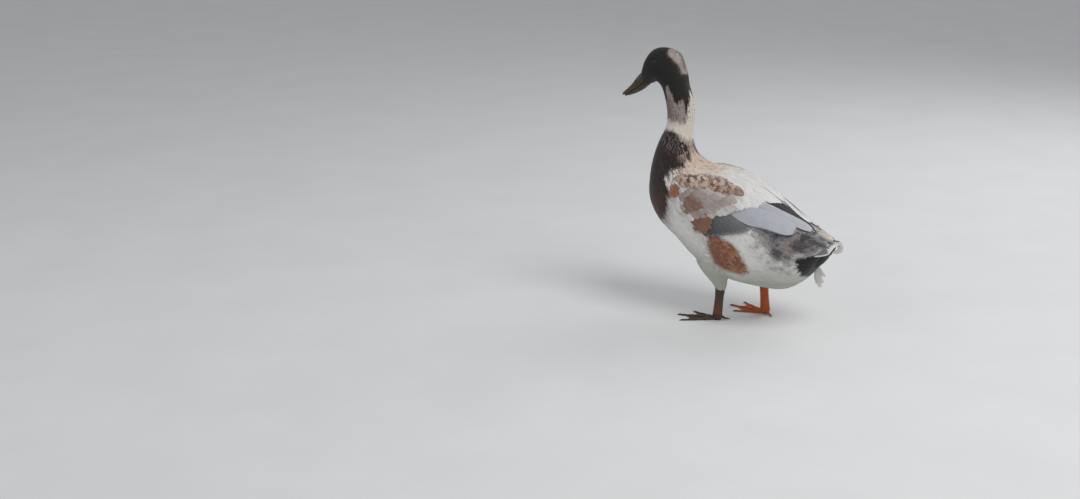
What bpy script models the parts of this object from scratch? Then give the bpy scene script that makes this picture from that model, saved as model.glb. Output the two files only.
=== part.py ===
"""A drake of the Welsh harlequin duck, standing with its neck up, at life size.

The bird faces -Y, its left side is at +X, and it stands on the floor at z = 0.
Head, neck, torso and tail are lengths of one lofted body, parted by thin cuts.
Each section of the loft lies in the plane that holds its back point, its front
point and the X direction, so the sections fan round the bend of the breast.
"""

import math

import bmesh
import bpy
import numpy as np

CM = 0.01
MM = 0.001

# Clearances between nodes
GAP = 0.3 * MM
CUT_GAP = 0.45 * MM

# Shift that puts the origin under the middle of the bird's box
ORIGIN_SHIFT_Y = -2.07 * CM

# Body loft: back point (y, z), front point (y, z), half width, share of the depth below the widest place
STATIONS = [
    ("bill_root", (-15.45, 42.45), (-14.2, 40.3), 1.20, 0.50),
    ("brow", (-14.6, 44.8), (-13.25, 40.7), 2.05, 0.47),
    ("forehead", (-13.1, 46.65), (-12.4, 41.05), 2.50, 0.46),
    ("crown", (-10.9, 47.1), (-11.65, 40.85), 2.65, 0.47),
    ("back_of_head", (-8.35, 46.35), (-11.05, 39.9), 2.65, 0.50),
    ("nape", (-7.15, 43.7), (-10.55, 38.5), 2.55, 0.52),
    ("upper_neck", (-6.45, 40.75), (-10.25, 37.05), 2.40, 0.52),
    ("mid_neck", (-5.4, 37.6), (-10.05, 35.2), 2.35, 0.50),
    ("collar", (-5.35, 34.15), (-10.3, 33.1), 2.60, 0.50),
    ("neck_root", (-5.5, 30.95), (-11.5, 30.35), 3.40, 0.50),
    ("shoulder", (-4.55, 28.35), (-12.3, 27.4), 4.60, 0.50),
    ("mantle", (-1.95, 26.95), (-12.7, 24.05), 5.90, 0.50),
    ("breast", (1.75, 26.5), (-12.55, 20.4), 6.90, 0.49),
    ("back", (5.25, 25.6), (-10.7, 16.8), 7.40, 0.48),
    ("mid_body", (9.0, 23.8), (-7.15, 13.75), 7.60, 0.47),
    ("flank", (12.4, 21.6), (-2.9, 10.1), 7.60, 0.46),
    ("belly", (15.4, 19.7), (2.5, 7.55), 7.30, 0.45),
    ("rear_belly", (17.8, 18.3), (8.6, 6.75), 6.60, 0.46),
    ("vent", (19.4, 17.5), (13.4, 6.85), 5.60, 0.50),
    ("tail_root", (20.3, 17.0), (17.05, 9.05), 4.40, 0.55),
    ("tail_coverts", (20.8, 16.7), (19.6, 12.4), 3.20, 0.60),
    ("coverts_end", (21.1, 16.3), (21.0, 14.6), 2.20, 0.60),
]
SECTION_POWER = 0.93
SIDES = 28
RINGS_PER_STATION = 2
HEAD_CUT, NECK_CUT, TAIL_CUT = 5.5, 9.5, 18.0

# Bill, measured in the same plane: top point, bottom point, half width
UPPER_BILL = [
    ((-15.45, 42.45), (-14.62, 40.92), 1.12),
    ((-16.36, 41.46), (-15.46, 40.06), 1.08),
    ((-17.28, 40.20), (-16.62, 39.24), 1.08),
    ((-18.14, 39.30), (-17.70, 38.60), 1.20),
    ((-18.76, 38.74), (-18.48, 38.20), 1.10),
    ((-19.10, 38.32), (-18.98, 38.02), 0.62),
]
LOWER_BILL = [
    ((-14.59, 40.84), (-14.20, 40.16), 0.98),
    ((-15.43, 39.99), (-15.22, 39.30), 0.95),
    ((-16.59, 39.17), (-16.43, 38.60), 0.96),
    ((-17.67, 38.54), (-17.58, 38.12), 1.06),
    ((-18.38, 38.16), (-18.36, 37.90), 0.80),
]
UPPER_WIDEST, LOWER_WIDEST = 0.2, 0.8
BILL_POWER = 0.85
BILL_SIDES = 16
NAIL_CENTRE, NAIL_SIZE = (-18.78, 38.46), (0.36, 0.4, 0.17)
NOSTRIL_CENTRE, NOSTRIL_SIZE = (-16.22, 40.9), (2.0, 0.34, 0.12)
BILL_SLOPE = math.radians(40)

# Eyes
EYE_RADIUS = 5.6 * MM
EYE_PLACE = (-12.35, 44.8)
EYE_PROUD = 1.7 * MM
LID_RADIUS, LID_THICK = 4.9 * MM, 0.9 * MM
LID_LONG, LID_HIGH = 1.08, 0.95

# Wing: places on the left flank as (station number, turn in degrees), lifts off the body in millimetres
ARM_LOWER = [(11.9, 84), (12.7, 92), (13.6, 97.5), (14.15, 93), (14.35, 82), (14.5, 70), (14.7, 58)]
ARM_UPPER = [(11.3, 60), (11.5, 36), (12.1, 20), (12.8, 13), (13.5, 11), (14.0, 13), (14.4, 20)]
ARM_ROWS, ARM_COLUMNS = 11, 7
ARM_EDGE, ARM_BULGE, ARM_SINK = 1.6, 5.6, 2.0
VANE_ROWS = [0.0, 0.3, 0.6, 0.86, 1.0]
VANE_WIDTHS = [0.6, 1.0, 1.0, 0.74, 0.22]
VANE_THICK = 0.6
# Each tier: number, root line, middle line or none, tip line, half width in cm, lifts (root, middle, tip), tilt
# A line runs from the lowest vane's place to the uppermost one's.
WING_TIERS = {
    "primary": (3, [(14.0, 60), (13.8, 50)], [(15.7, 27), (15.3, 22)], [(17.25, 7.5), (16.0, 9)], (0.62, 0.55),
                [(1.5, 1.3, 1.2), (2.8, 3.4, 3.2)], 0.0),
    "secondary": (6, [(13.4, 92), (13.5, 64)], None, [(14.72, 85), (15.15, 58)], (0.85, 0.9),
                  [(3.0, 4.2, 4.0), (3.0, 4.2, 4.0)], 0.55),
    "tertial": (4, [(13.5, 66), (13.3, 24)], [(15.05, 46), (14.6, 16)], [(16.4, 28), (16.0, 9.5)], (1.45, 0.95),
                [(4.2, 5.8, 4.7), (4.2, 5.8, 4.7)], 0.55),
    "covert": (5, [(12.9, 89), (12.95, 60)], None, [(13.85, 86), (14.1, 54)], (0.85, 0.9),
               [(4.4, 5.9, 5.6), (5.0, 7.2, 7.0)], 0.5),
    "scapular": (6, [(11.9, 68), (13.0, 15)], None, [(13.0, 60), (14.8, 12)], (0.95, 0.8),
                 [(2.6, 7.6, 7.6), (1.6, 6.8, 6.2)], 0.55),
    "shoulder": (5, [(11.45, 58), (12.2, 16)], None, [(12.35, 57), (13.6, 13)], (0.95, 0.85),
                 [(1.2, 5.6, 9.0), (1.0, 4.4, 7.8)], 0.5),
}

# Tail feathers: number a side, then root and tip of the middle one and of the outer one (x, y, z)
TAIL_COUNT = 6
TAIL_ROOTS = [(0.75, 19.6, 16.2), (3.9, 18.5, 14.6)]
TAIL_TIPS = [(0.75, 22.7, 16.0), (2.6, 22.0, 15.5)]
TAIL_HALF_WIDTH, TAIL_THICK = 0.7, 0.6
TAIL_WIDTHS = [0.7, 1.0, 1.0, 0.35]
TAIL_ARCH, TAIL_SPREAD, TAIL_SAG = 0.25, 0.25, 0.1
TAIL_LEANS = [6, 46]
CURL_PATH = [
    (0.3, 20.6, 16.1), (0.35, 21.8, 16.0), (0.4, 22.6, 15.9),
    (0.4, 22.8, 15.3), (0.4, 22.3, 14.75), (0.4, 21.4, 14.5),
]
CURL_WIDTHS, CURL_THICK = [0.25, 0.35, 0.45, 0.42, 0.36, 0.12], 0.8
LOOSE_PATH = [
    (-2.6, 18.3, 12.6), (-2.3, 18.9, 11.4), (-2.2, 18.4, 10.2),
    (-2.2, 18.0, 8.9), (-2.2, 18.1, 7.9), (-2.2, 18.5, 7.1),
]
LOOSE_WIDTHS, LOOSE_THICK = [0.15, 0.2, 0.35, 1.0, 0.95, 0.3], 0.7
LOOSE_FACING = (0.9, 0.4, 0.1)

# Legs: lateral place, toe-joint place along Y, hock place along Y
LEG_X = 3.7
NEAR_LEG = {"side": 1, "ankle_y": 2.1, "hock_y": 2.5}
FAR_LEG = {"side": -1, "ankle_y": 8.2, "hock_y": 7.7}
HOCK_Z, ANKLE_Z = 6.3, 1.25
# Thigh rings from the belly down: share of LEG_X, offset along Y from the hock, height, half sizes in X and Y
THIGH_RINGS = [
    (1.12, -0.7, 13.0, 2.6, 4.2),
    (1.12, -0.8, 10.8, 2.5, 3.8),
    (1.08, -0.8, 9.0, 2.0, 2.65),
    (1.02, -0.5, 7.6, 1.45, 1.75),
    (1.0, -0.15, 6.65, 1.05, 1.3),
    (1.0, 0.0, 6.3, 0.95, 1.15),
]
SHANK_SIZES = [(0.74, 1.0), (0.66, 0.9), (0.6, 0.82), (0.6, 0.82), (0.64, 0.86), (0.68, 0.9)]
# Knuckle over the toes: height and half sizes of each ring
KNUCKLE_RINGS = [(0.15, 0.56, 0.7), (0.55, 0.7, 0.9), (0.95, 0.7, 0.92), (1.22, 0.67, 0.88)]
# Toes: turn off the foot's heading in degrees, length, thickness
TOES = [("inner", -27, 4.9, 0.32), ("middle", 0, 6.5, 0.36), ("outer", 25, 6.0, 0.32)]
TOE_START = 0.1
TOE_RING = [-55, -20, 20, 60, 90, 120, 160, 200, 235]
TOE_BULGE, TOE_JOINTS = 0.13, 3
FOOT_OUTWARD = 9
HIND_TURN, HIND_ROOT_Z, HIND_DROP = 25, 0.9, 0.45
HIND_STEPS, HIND_RADII = [0.0, 0.8, 1.5], [0.3, 0.26, 0.18]
WEB_TOP, WEB_BOTTOM = 1.5 * MM, 0.5 * MM
WEB_ROWS, WEB_COLUMNS = 8, 5
WEB_REACH, WEB_HOLLOW = 0.93, 0.13
CLAW_REACH, CLAW_DROP, CLAW_TAPER = [0.0, 0.3, 0.55, 0.75], [0.0, 0.02, 0.08, 0.17], [1.0, 0.85, 0.55, 0.18]

COLOURS = {
    "head_feathers": ((0.05, 0.045, 0.035), 0.6),
    "neck_feathers": ((0.45, 0.38, 0.32), 0.8),
    "body_feathers": ((0.62, 0.57, 0.50), 0.8),
    "wing_feathers": ((0.42, 0.40, 0.42), 0.7),
    "tail_feathers": ((0.60, 0.55, 0.48), 0.7),
    "bill_horn": ((0.16, 0.13, 0.05), 0.4),
    "leg_skin": ((0.55, 0.17, 0.04), 0.5),
    "eye": ((0.02, 0.01, 0.008), 0.05),
    "claw": ((0.05, 0.04, 0.03), 0.4),
}


def material(slot):
    """The Principled material of one slot, made once."""
    found = bpy.data.materials.get(slot)
    if found:
        return found
    colour, roughness = COLOURS[slot]
    made = bpy.data.materials.new(slot)
    made.use_nodes = True
    shader = made.node_tree.nodes["Principled BSDF"]
    shader.inputs["Base Color"].default_value = (*colour, 1.0)
    shader.inputs["Roughness"].default_value = roughness
    shader.inputs["Metallic"].default_value = 0.0
    return made


def mesh_object(name, points, faces, slot="body_feathers"):
    """An object with its material, from points in metres."""
    mesh = bpy.data.meshes.new(name)
    mesh.from_pydata([tuple(p) for p in np.asarray(points, float)], [], [tuple(map(int, f)) for f in faces])
    mesh.validate()
    made = bpy.data.objects.new(name, mesh)
    bpy.context.scene.collection.objects.link(made)
    mesh.materials.append(material(slot))
    mesh.shade_smooth()
    mesh.set_sharp_from_angle(angle=math.radians(40))
    return made


def tube_mesh(rings):
    """Points and triangles of a closed tube through rings (n, k, 3), split alike on both halves."""
    count, sides = rings.shape[:2]
    points = [*rings.reshape(-1, 3), rings[0].mean(0), rings[-1].mean(0)]
    first, last = count * sides, count * sides + 1
    faces = []
    for i in range(count - 1):
        for j in range(sides):
            a, b = i * sides + j, i * sides + (j + 1) % sides
            c, d = b + sides, a + sides
            faces += [(a, b, c), (a, c, d)] if j < sides // 2 else [(a, b, d), (b, c, d)]
    end = (count - 1) * sides
    for j in range(sides):
        k = (j + 1) % sides
        faces += [(first, k, j), (last, end + j, end + k)]
    return np.array(points), faces


def slab_mesh(top, bottom):
    """A closed slab between two sheets (n, m, 3), split into triangles alike on both faces."""
    rows, columns = top.shape[:2]
    points = np.concatenate([top.reshape(-1, 3), bottom.reshape(-1, 3)])
    below = rows * columns
    faces = []
    for i in range(rows - 1):
        for j in range(columns - 1):
            a, b = i * columns + j, i * columns + j + 1
            c, d = b + columns, a + columns
            faces += [(a, b, c), (a, c, d)]
            faces += [(below + c, below + b, below + a), (below + d, below + c, below + a)]
    rim = list(range(columns))
    rim += [i * columns + columns - 1 for i in range(1, rows)]
    rim += [(rows - 1) * columns + j for j in range(columns - 2, -1, -1)]
    rim += [i * columns for i in range(rows - 2, 0, -1)]
    for k, a in enumerate(rim):
        b = rim[(k + 1) % len(rim)]
        faces += [(b, a, below + a), (b, below + a, below + b)]
    return points, faces


def facing_out(points, faces):
    """The faces turned round if the closed mesh they make is inside out."""
    corners = np.asarray(points)[np.array(faces)]
    if np.linalg.det(corners - np.asarray(points).mean(0)).sum() < 0:
        return [tuple(reversed(f)) for f in faces]
    return faces


def closed_object(name, points, faces, slot="body_feathers"):
    return mesh_object(name, points, facing_out(points, faces), slot)


def smooth(values, s):
    """Catmull-Rom curve through values at whole numbers, read at s."""
    values = np.asarray(values, float)
    last = len(values) - 1
    s = np.clip(np.asarray(s, float), 0, last)
    i = np.clip(np.floor(s).astype(int), 0, last - 1)
    t = s - i
    if values.ndim > 1:
        t = t[..., None]
    padded = np.concatenate([[2 * values[0] - values[1]], values, [2 * values[-1] - values[-2]]])
    a, b, c, d = (padded[i + k] for k in range(4))
    return 0.5 * (2 * b + (c - a) * t + (2 * a - 5 * b + 4 * c - d) * t**2 + (3 * b - a - 3 * c + d) * t**3)


class Loft:
    """A body through stations. turn is the angle round a section: 0 at the back point, 90 degrees at +X."""

    def __init__(self, stations, power):
        self.back = np.array([s[0] for s in stations]) * CM
        self.front = np.array([s[1] for s in stations]) * CM
        self.width = np.array([s[2] for s in stations]) * CM
        self.widest = np.array([s[3] for s in stations])
        self.power = power

    def point(self, s, turn):
        s, turn = np.broadcast_arrays(np.asarray(s, float), np.asarray(turn, float))
        back, front = smooth(self.back, s), smooth(self.front, s)
        width, widest = smooth(self.width, s), smooth(self.widest, s)
        middle = front + (back - front) * widest[..., None]
        up, side = np.cos(turn), np.sin(turn)
        reach = np.where((up > 0)[..., None], back - middle, middle - front)
        along = np.sign(up) * np.abs(up) ** self.power
        out = np.sign(side) * np.abs(side) ** self.power
        plane = middle + reach * along[..., None]
        return np.stack([width * out, plane[..., 0], plane[..., 1]], -1)

    def normal(self, s, turn):
        """The outward unit normal, from small steps along and round the body."""
        step, angle = 0.02, 0.01
        along = self.point(s + step, turn) - self.point(s - step, turn)
        across = self.point(s, turn + angle) - self.point(s, turn - angle)
        made = np.cross(across, along)
        return made / np.linalg.norm(made, axis=-1, keepdims=True)

    def side(self, y, z):
        """(s, turn) of the left flank where the side view shows the point (y, z), in centimetres."""
        s = np.linspace(0, len(self.width) - 1, 2101)
        back, front = smooth(self.back, s), smooth(self.front, s)
        chord = back - front
        to_point = np.array([y, z]) * CM - front
        share = (to_point * chord).sum(1) / (chord * chord).sum(1)
        off = np.abs(chord[:, 0] * to_point[:, 1] - chord[:, 1] * to_point[:, 0])
        off /= np.linalg.norm(chord, axis=1)
        i = np.argmin(off + np.where((share < -0.2) | (share > 1.2), 1.0, 0.0))
        widest = smooth(self.widest, s[i])
        high = share[i] > widest
        along = (share[i] - widest) / (1 - widest if high else widest)
        along = np.clip(along, -0.995, 0.995)
        return np.array([s[i], math.acos(np.sign(along) * abs(along) ** (1 / self.power))])

    def across(self, s, turn, along):
        """Chart step (ds, dturn) for one metre towards the belly, square to a path that runs by along."""
        step = 0.01
        by_s = (self.point(s + step, turn) - self.point(s - step, turn)) / (2 * step)
        by_turn = (self.point(s, turn + step) - self.point(s, turn - step)) / (2 * step)
        way = by_s * along[0] + by_turn * along[1]
        side = np.cross(way, self.normal(s, turn))
        side /= np.linalg.norm(side)
        basis = np.stack([by_s, by_turn], 1)
        return np.linalg.lstsq(basis, side, rcond=None)[0]

    def rings(self, start, end, sides, start_shift=0.0):
        """Rings from start to end. start_shift moves the first section along its own normal, for a thin cut."""
        count = max(2, int(round((end - start) * RINGS_PER_STATION)) + 1)
        turn = np.linspace(0, 2 * math.pi, sides, endpoint=False)
        made = self.point(np.linspace(start, end, count)[:, None], turn[None, :])
        if start_shift:
            chord = smooth(self.back, start) - smooth(self.front, start)
            across = np.array([0, chord[1], -chord[0]]) / np.linalg.norm(chord)
            ahead = made[1].mean(0) - made[0].mean(0)
            made[0] += across * math.copysign(start_shift, across @ ahead)
        return made


BODY = Loft([s[1:] for s in STATIONS], SECTION_POWER)


def ellipsoid(name, centre, size, turn_x=0.0, around=12, high=8, slot="body_feathers"):
    """A closed ellipsoid with half sizes along its own axes, turned about X."""
    rows = np.linspace(0.12, math.pi - 0.12, high)
    ring = np.linspace(0, 2 * math.pi, around, endpoint=False)
    unit = np.stack(
        [
            np.sin(rows)[:, None] * np.cos(ring),
            np.sin(rows)[:, None] * np.sin(ring),
            np.repeat(np.cos(rows)[:, None], around, 1),
        ],
        -1,
    )
    c, s = math.cos(turn_x), math.sin(turn_x)
    turned = (unit * np.asarray(size)) @ np.array([[1, 0, 0], [0, c, s], [0, -s, c]])
    return closed_object(name, *tube_mesh(turned + np.asarray(centre)), slot)


def boolean(base, others, operation):
    """Base joined with, or cut by, the other closed objects, which are then removed."""
    group = bpy.data.collections.new("pieces")
    bpy.context.scene.collection.children.link(group)
    for other in others:
        bpy.context.scene.collection.objects.unlink(other)
        group.objects.link(other)
    modifier = base.modifiers.new("join", "BOOLEAN")
    modifier.operation = operation
    modifier.operand_type = "COLLECTION"
    modifier.collection = group
    modifier.solver = "MANIFOLD"
    bpy.context.view_layer.update()
    graph = bpy.context.evaluated_depsgraph_get()
    result = bpy.data.meshes.new_from_object(base.evaluated_get(graph))
    base.modifiers.remove(modifier)
    old = base.data
    base.data = result
    result.name = base.name
    bpy.data.meshes.remove(old)
    for other in others:
        bpy.data.objects.remove(other)
    bpy.data.collections.remove(group)
    keep_largest(base)
    return base


def keep_largest(obj):
    """Only the largest closed surface of the object is kept, as triangles."""
    work = bmesh.new()
    work.from_mesh(obj.data)
    bmesh.ops.triangulate(work, faces=work.faces)
    left, islands = set(work.verts), []
    while left:
        stack, island = [left.pop()], set()
        while stack:
            vert = stack.pop()
            island.add(vert)
            for edge in vert.link_edges:
                other = edge.other_vert(vert)
                if other in left:
                    left.remove(other)
                    stack.append(other)
        islands.append(island)
    islands.sort(key=lambda island: surface_volume({f for v in island for f in v.link_faces}))
    for island in islands[:-1]:
        bmesh.ops.delete(work, geom=list(island), context="VERTS")
    work.to_mesh(obj.data)
    work.free()


def surface_volume(faces):
    return abs(sum(f.verts[0].co.dot(f.verts[1].co.cross(f.verts[2].co)) for f in faces)) / 6


def grown(obj, by=CUT_GAP):
    """A copy of a closed object with each vertex moved out along its normal, used as a cutter."""
    points = [v.co + v.normal * by for v in obj.data.vertices]
    return mesh_object("cutter", points, [p.vertices for p in obj.data.polygons])


def mirrored(obj, name):
    """The other side's piece: the mesh mirrored in X, with its faces turned round."""
    points = [(-v.co.x, v.co.y, v.co.z) for v in obj.data.vertices]
    faces = [tuple(reversed(p.vertices)) for p in obj.data.polygons]
    return mesh_object(name, points, faces, obj.data.materials[0].name)


def renamed(obj, name, slot):
    """The object under its node's name, with one material."""
    obj.name = name
    obj.data.name = name
    obj.data.materials.clear()
    obj.data.materials.append(material(slot))
    obj.data.shade_smooth()
    obj.data.set_sharp_from_angle(angle=math.radians(40))
    return obj


def on_flank(s, turn, lift=0.0):
    return BODY.point(s, turn) + BODY.normal(s, turn) * lift


def make_head():
    """The head with lids round two eye sockets, and the eyes."""
    head = closed_object("head", *tube_mesh(BODY.rings(0, HEAD_CUT, SIDES)))
    place = BODY.side(*EYE_PLACE)
    spot, out = BODY.point(*place), BODY.normal(*place)
    lids, sockets = [], []
    for side in (1, -1):
        flip = np.array([side, 1, 1])
        centre = (spot + out * (EYE_PROUD - EYE_RADIUS)) * flip
        lids.append(eyelid(spot * flip, out * flip))
        sockets.append(ellipsoid("socket", centre, [EYE_RADIUS + GAP] * 3, around=14, high=9))
        name = "eye_left" if side > 0 else "eye_right"
        ellipsoid(name, centre, [EYE_RADIUS] * 3, around=14, high=9, slot="eye")
    boolean(head, lids, "UNION")
    boolean(head, sockets, "DIFFERENCE")
    renamed(head, "head", "head_feathers")


def eyelid(spot, out):
    """A low ring round the eye, slightly longer than high."""
    across = np.cross(out, [0, 0, 1])
    across /= np.linalg.norm(across)
    up = np.cross(across, out)
    around, thick = 14, 5
    a = np.linspace(0, 2 * math.pi, around, endpoint=False)[:, None, None]
    b = np.linspace(0, 2 * math.pi, thick, endpoint=False)[None, :, None]
    radial = across * np.cos(a) * LID_LONG + up * np.sin(a) * LID_HIGH
    ring = spot + radial * (LID_RADIUS + LID_THICK * np.cos(b)) + out * (LID_THICK * np.sin(b))
    points = ring.reshape(-1, 3)
    faces = []
    for i in range(around):
        for j in range(thick):
            p, q = i * thick + j, i * thick + (j + 1) % thick
            r, s = ((i + 1) % around) * thick + (j + 1) % thick, ((i + 1) % around) * thick + j
            faces += [(p, q, r), (p, r, s)]
    return closed_object("lid", points, faces)


def bill_loft(table, widest):
    return Loft([(top, bottom, width, widest) for top, bottom, width in table], BILL_POWER)


def bill_mark(name, centre, size, around, high):
    """An ellipsoid in the bill's middle plane, along its slope."""
    return ellipsoid(name, np.array([0, *centre]) * CM, np.array(size) * CM, -BILL_SLOPE, around, high)


def make_bill():
    """Upper bill with nail and nostrils, and lower bill. Both start a thin gap in front of the face."""
    face = BODY.point(0, 0) - BODY.point(0, math.pi)
    forward = np.array([0, -face[2], face[1]]) / np.linalg.norm(face)
    forward *= math.copysign(1, -forward[1])
    halves = [("bill_upper", UPPER_BILL, UPPER_WIDEST), ("bill_lower", LOWER_BILL, LOWER_WIDEST)]
    for name, table, widest in halves:
        loft = bill_loft(table, widest)
        turn = np.linspace(0, 2 * math.pi, BILL_SIDES, endpoint=False)
        rings = loft.point(np.linspace(0, len(table) - 1, 2 * len(table) - 1)[:, None], turn[None, :])
        ahead = (rings[0] - BODY.point(0, 0)) @ forward
        rings[0] += forward * (GAP - ahead)[:, None]
        bill = closed_object(name, *tube_mesh(rings))
        if name == "bill_upper":
            boolean(bill, [bill_mark("nail", NAIL_CENTRE, NAIL_SIZE, 12, 7)], "UNION")
            boolean(bill, [bill_mark("nostril", NOSTRIL_CENTRE, NOSTRIL_SIZE, 10, 9)], "DIFFERENCE")
        renamed(bill, name, "bill_horn")


def body_length(name, start, end, slot, shift=GAP):
    """One length of the body loft as a node. Its first section is shifted by the thin cut."""
    return closed_object(name, *tube_mesh(BODY.rings(start, end, SIDES, shift)), slot)


def between(line, share):
    """The place at a share of the way along a line of two places."""
    first, last = np.array(line[0], float), np.array(line[1], float)
    return first + (last - first) * share


def flank_vane(name, places, half_width, lifts, tilt):
    """A feather vane that follows the flank at its lifts, its lower edge raised over the next vane."""
    places = np.array(places) * [1, math.radians(1)]
    rows = np.array(VANE_ROWS)
    last = len(places) - 1
    chart = smooth(places, rows * last)
    ahead = smooth(places, (rows + 0.02) * last) - smooth(places, (rows - 0.02) * last)
    lift = smooth(lifts, rows * (len(lifts) - 1))
    top, bottom = [], []
    for place, way, width, high in zip(chart, ahead, np.array(VANE_WIDTHS) * half_width * CM, lift):
        step = BODY.across(place[0], place[1], way)
        for share in (-1, 0, 1):
            s, turn = place + step * share * width
            level = high + tilt * share
            top.append(on_flank(s, turn, (level + VANE_THICK / 2) * MM))
            bottom.append(on_flank(s, turn, (level - VANE_THICK / 2) * MM))
    shape = (len(rows), 3, 3)
    return closed_object(name, *slab_mesh(np.reshape(top, shape), np.reshape(bottom, shape)))


def vane_tier(name, tier):
    """The vanes of one tier of the wing, from the lowest to the uppermost."""
    count, roots, middles, tips, widths, lifts, tilt = tier
    made = []
    for k in range(count):
        share = k / (count - 1)
        places = [between(line, share) for line in (roots, middles, tips) if line]
        half_width = widths[0] + (widths[1] - widths[0]) * share
        made.append(flank_vane(name, places, half_width, between(lifts, share), tilt))
    return made


def ribbon_vane(name, path, widths, thick, facing):
    """A vane along a free path of points, one face turned towards the direction facing."""
    path = smooth(np.array(path) * CM, np.linspace(0, len(path) - 1, 2 * len(path) - 1))
    widths = smooth(widths, np.linspace(0, len(widths) - 1, len(path))) * CM
    top, bottom = [], []
    for point, way, width in zip(path, np.gradient(path, axis=0), widths):
        side = np.cross(facing, way)
        side /= np.linalg.norm(side)
        up = np.cross(side, way)
        up *= thick * MM / 2 / np.linalg.norm(up)
        row = [point - side * width, point + up * 0.6, point + side * width]
        top.append([p + up for p in row])
        bottom.append([p - up for p in row])
    return closed_object(name, *slab_mesh(np.array(top), np.array(bottom)))


def make_tail():
    """Rump and tail coverts, with the tail feathers, the curled feather and the loose vent feather."""
    tail = closed_object("tail", *tube_mesh(BODY.rings(TAIL_CUT, len(STATIONS) - 1, SIDES, GAP)))
    vanes = []
    for k in range(TAIL_COUNT):
        share = k / (TAIL_COUNT - 1)
        arch = np.array([0, 0, TAIL_ARCH * math.sin(math.pi * share)])
        root = between(TAIL_ROOTS, share) + arch
        tip = between(TAIL_TIPS, share) + arch
        middle = (root + tip) / 2 + [TAIL_SPREAD * share, 0, -TAIL_SAG]
        path = np.array([root, between([root, middle], 0.6), between([middle, tip], 0.6), tip])
        lean = math.radians(between(TAIL_LEANS, share))
        facing = np.array([math.sin(lean), 0, math.cos(lean)])
        widths = np.array(TAIL_WIDTHS) * TAIL_HALF_WIDTH
        for flip in ([1, 1, 1], [-1, 1, 1]):
            vanes.append(ribbon_vane("rectrix", path * flip, widths, TAIL_THICK, facing * flip))
    vanes.append(ribbon_vane("curl", CURL_PATH, CURL_WIDTHS, CURL_THICK, (1, 0, 0)))
    vanes.append(ribbon_vane("loose", LOOSE_PATH, LOOSE_WIDTHS, LOOSE_THICK, LOOSE_FACING))
    boolean(tail, vanes, "UNION")
    return renamed(tail, "tail", "tail_feathers")


def arm_sheet(lift_inner):
    """Outer and inner grid of the folded arm, from its front to its rear edge."""
    to_chart = [1, math.radians(1)]
    lower, upper = np.array(ARM_LOWER) * to_chart, np.array(ARM_UPPER) * to_chart
    u = np.linspace(0, len(ARM_LOWER) - 1, ARM_ROWS)
    v = np.linspace(0, 1, ARM_COLUMNS)
    place = smooth(lower, u)[:, None] * (1 - v[None, :, None]) + smooth(upper, u)[:, None] * v[None, :, None]
    along = np.sin(math.pi * (0.04 + 0.92 * np.linspace(0, 1, ARM_ROWS)))[:, None]
    over = np.clip(np.sin(math.pi * v), 0, 1)[None, :]
    lift = (ARM_EDGE + ARM_BULGE * over**0.6 * along**0.5) * MM
    s, turn = place[..., 0], place[..., 1]
    return on_flank(s, turn, lift[..., None]), on_flank(s, turn, lift_inner * MM)


def make_wings(torso, tail):
    """Folded wings: an arm with its tiers of vanes fused on, cut clear of torso and tail, then mirrored."""
    top, bottom = arm_sheet(-ARM_SINK)
    wing = closed_object("wing_left", *slab_mesh(top, bottom), "wing_feathers")
    vanes = [vane for name, tier in WING_TIERS.items() for vane in vane_tier(name, tier)]
    boolean(wing, vanes, "UNION")
    boolean(wing, [grown(torso), grown(tail)], "DIFFERENCE")
    renamed(wing, "wing_left", "wing_feathers")
    mirrored(wing, "wing_right")


def round_rings(centres, sizes, sides=14):
    """Level rings with half sizes (x, y) at centres, from the first to the last."""
    turn = np.linspace(0, 2 * math.pi, sides, endpoint=False)
    unit = np.stack([np.cos(turn), np.sin(turn), np.zeros(sides)], -1)
    return np.array([c + unit * np.array([sx, sy, 0]) for c, (sx, sy) in zip(np.array(centres), sizes)])


def make_leg(leg, torso):
    """Thigh, shank and foot of one leg, from the torso down to the floor."""
    side = leg["side"]
    word = "left" if side > 0 else "right"
    x = LEG_X * side
    hock, ankle = leg["hock_y"], leg["ankle_y"]
    centres = np.array([(x * share, hock + offset, z) for share, offset, z, _, _ in THIGH_RINGS]) * CM
    sizes = np.array([ring[3:] for ring in THIGH_RINGS]) * CM
    thigh = closed_object("thigh_" + word, *tube_mesh(round_rings(centres, sizes)))
    boolean(thigh, [grown(torso)], "DIFFERENCE")
    renamed(thigh, "thigh_" + word, "body_feathers")
    shank_top = np.array([x, hock, HOCK_Z]) * CM - [0, 0, GAP]
    shank_foot = np.array([x, ankle, ANKLE_Z]) * CM
    centres = [shank_top + (shank_foot - shank_top) * t for t in np.linspace(0, 1, len(SHANK_SIZES))]
    rings = round_rings(centres, np.array(SHANK_SIZES) * CM, 12)
    closed_object("shank_" + word, *tube_mesh(rings), "leg_skin")
    make_foot(word, side, np.array([x, ankle, 0.0]) * CM)


def toe_frame(angle):
    """Unit vectors along and across a toe that points forward, turned outward by the angle in degrees."""
    a = math.radians(angle)
    return np.array([math.sin(a), -math.cos(a), 0]), np.array([math.cos(a), math.sin(a), 0])


def toe_mesh(root, along, across, length, thick):
    """A tapered toe with a flat sole on the floor and a bulge at each joint."""
    turn = np.radians(TOE_RING)
    rings = []
    for t in np.linspace(0, 1, 9):
        joint = 1 + TOE_BULGE * math.cos(2 * math.pi * TOE_JOINTS * t)
        half = thick * joint * (1 - 0.45 * t)
        high = thick * joint * (1.25 - 0.75 * t)
        ring = root + along * length * t + across * half * np.cos(turn)[:, None]
        ring[:, 2] = np.maximum(0.0, half * 0.6 + high * np.sin(turn))
        ring[[0, -1], 2] = 0.0
        rings.append(ring)
    return tube_mesh(np.array(rings))


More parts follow.
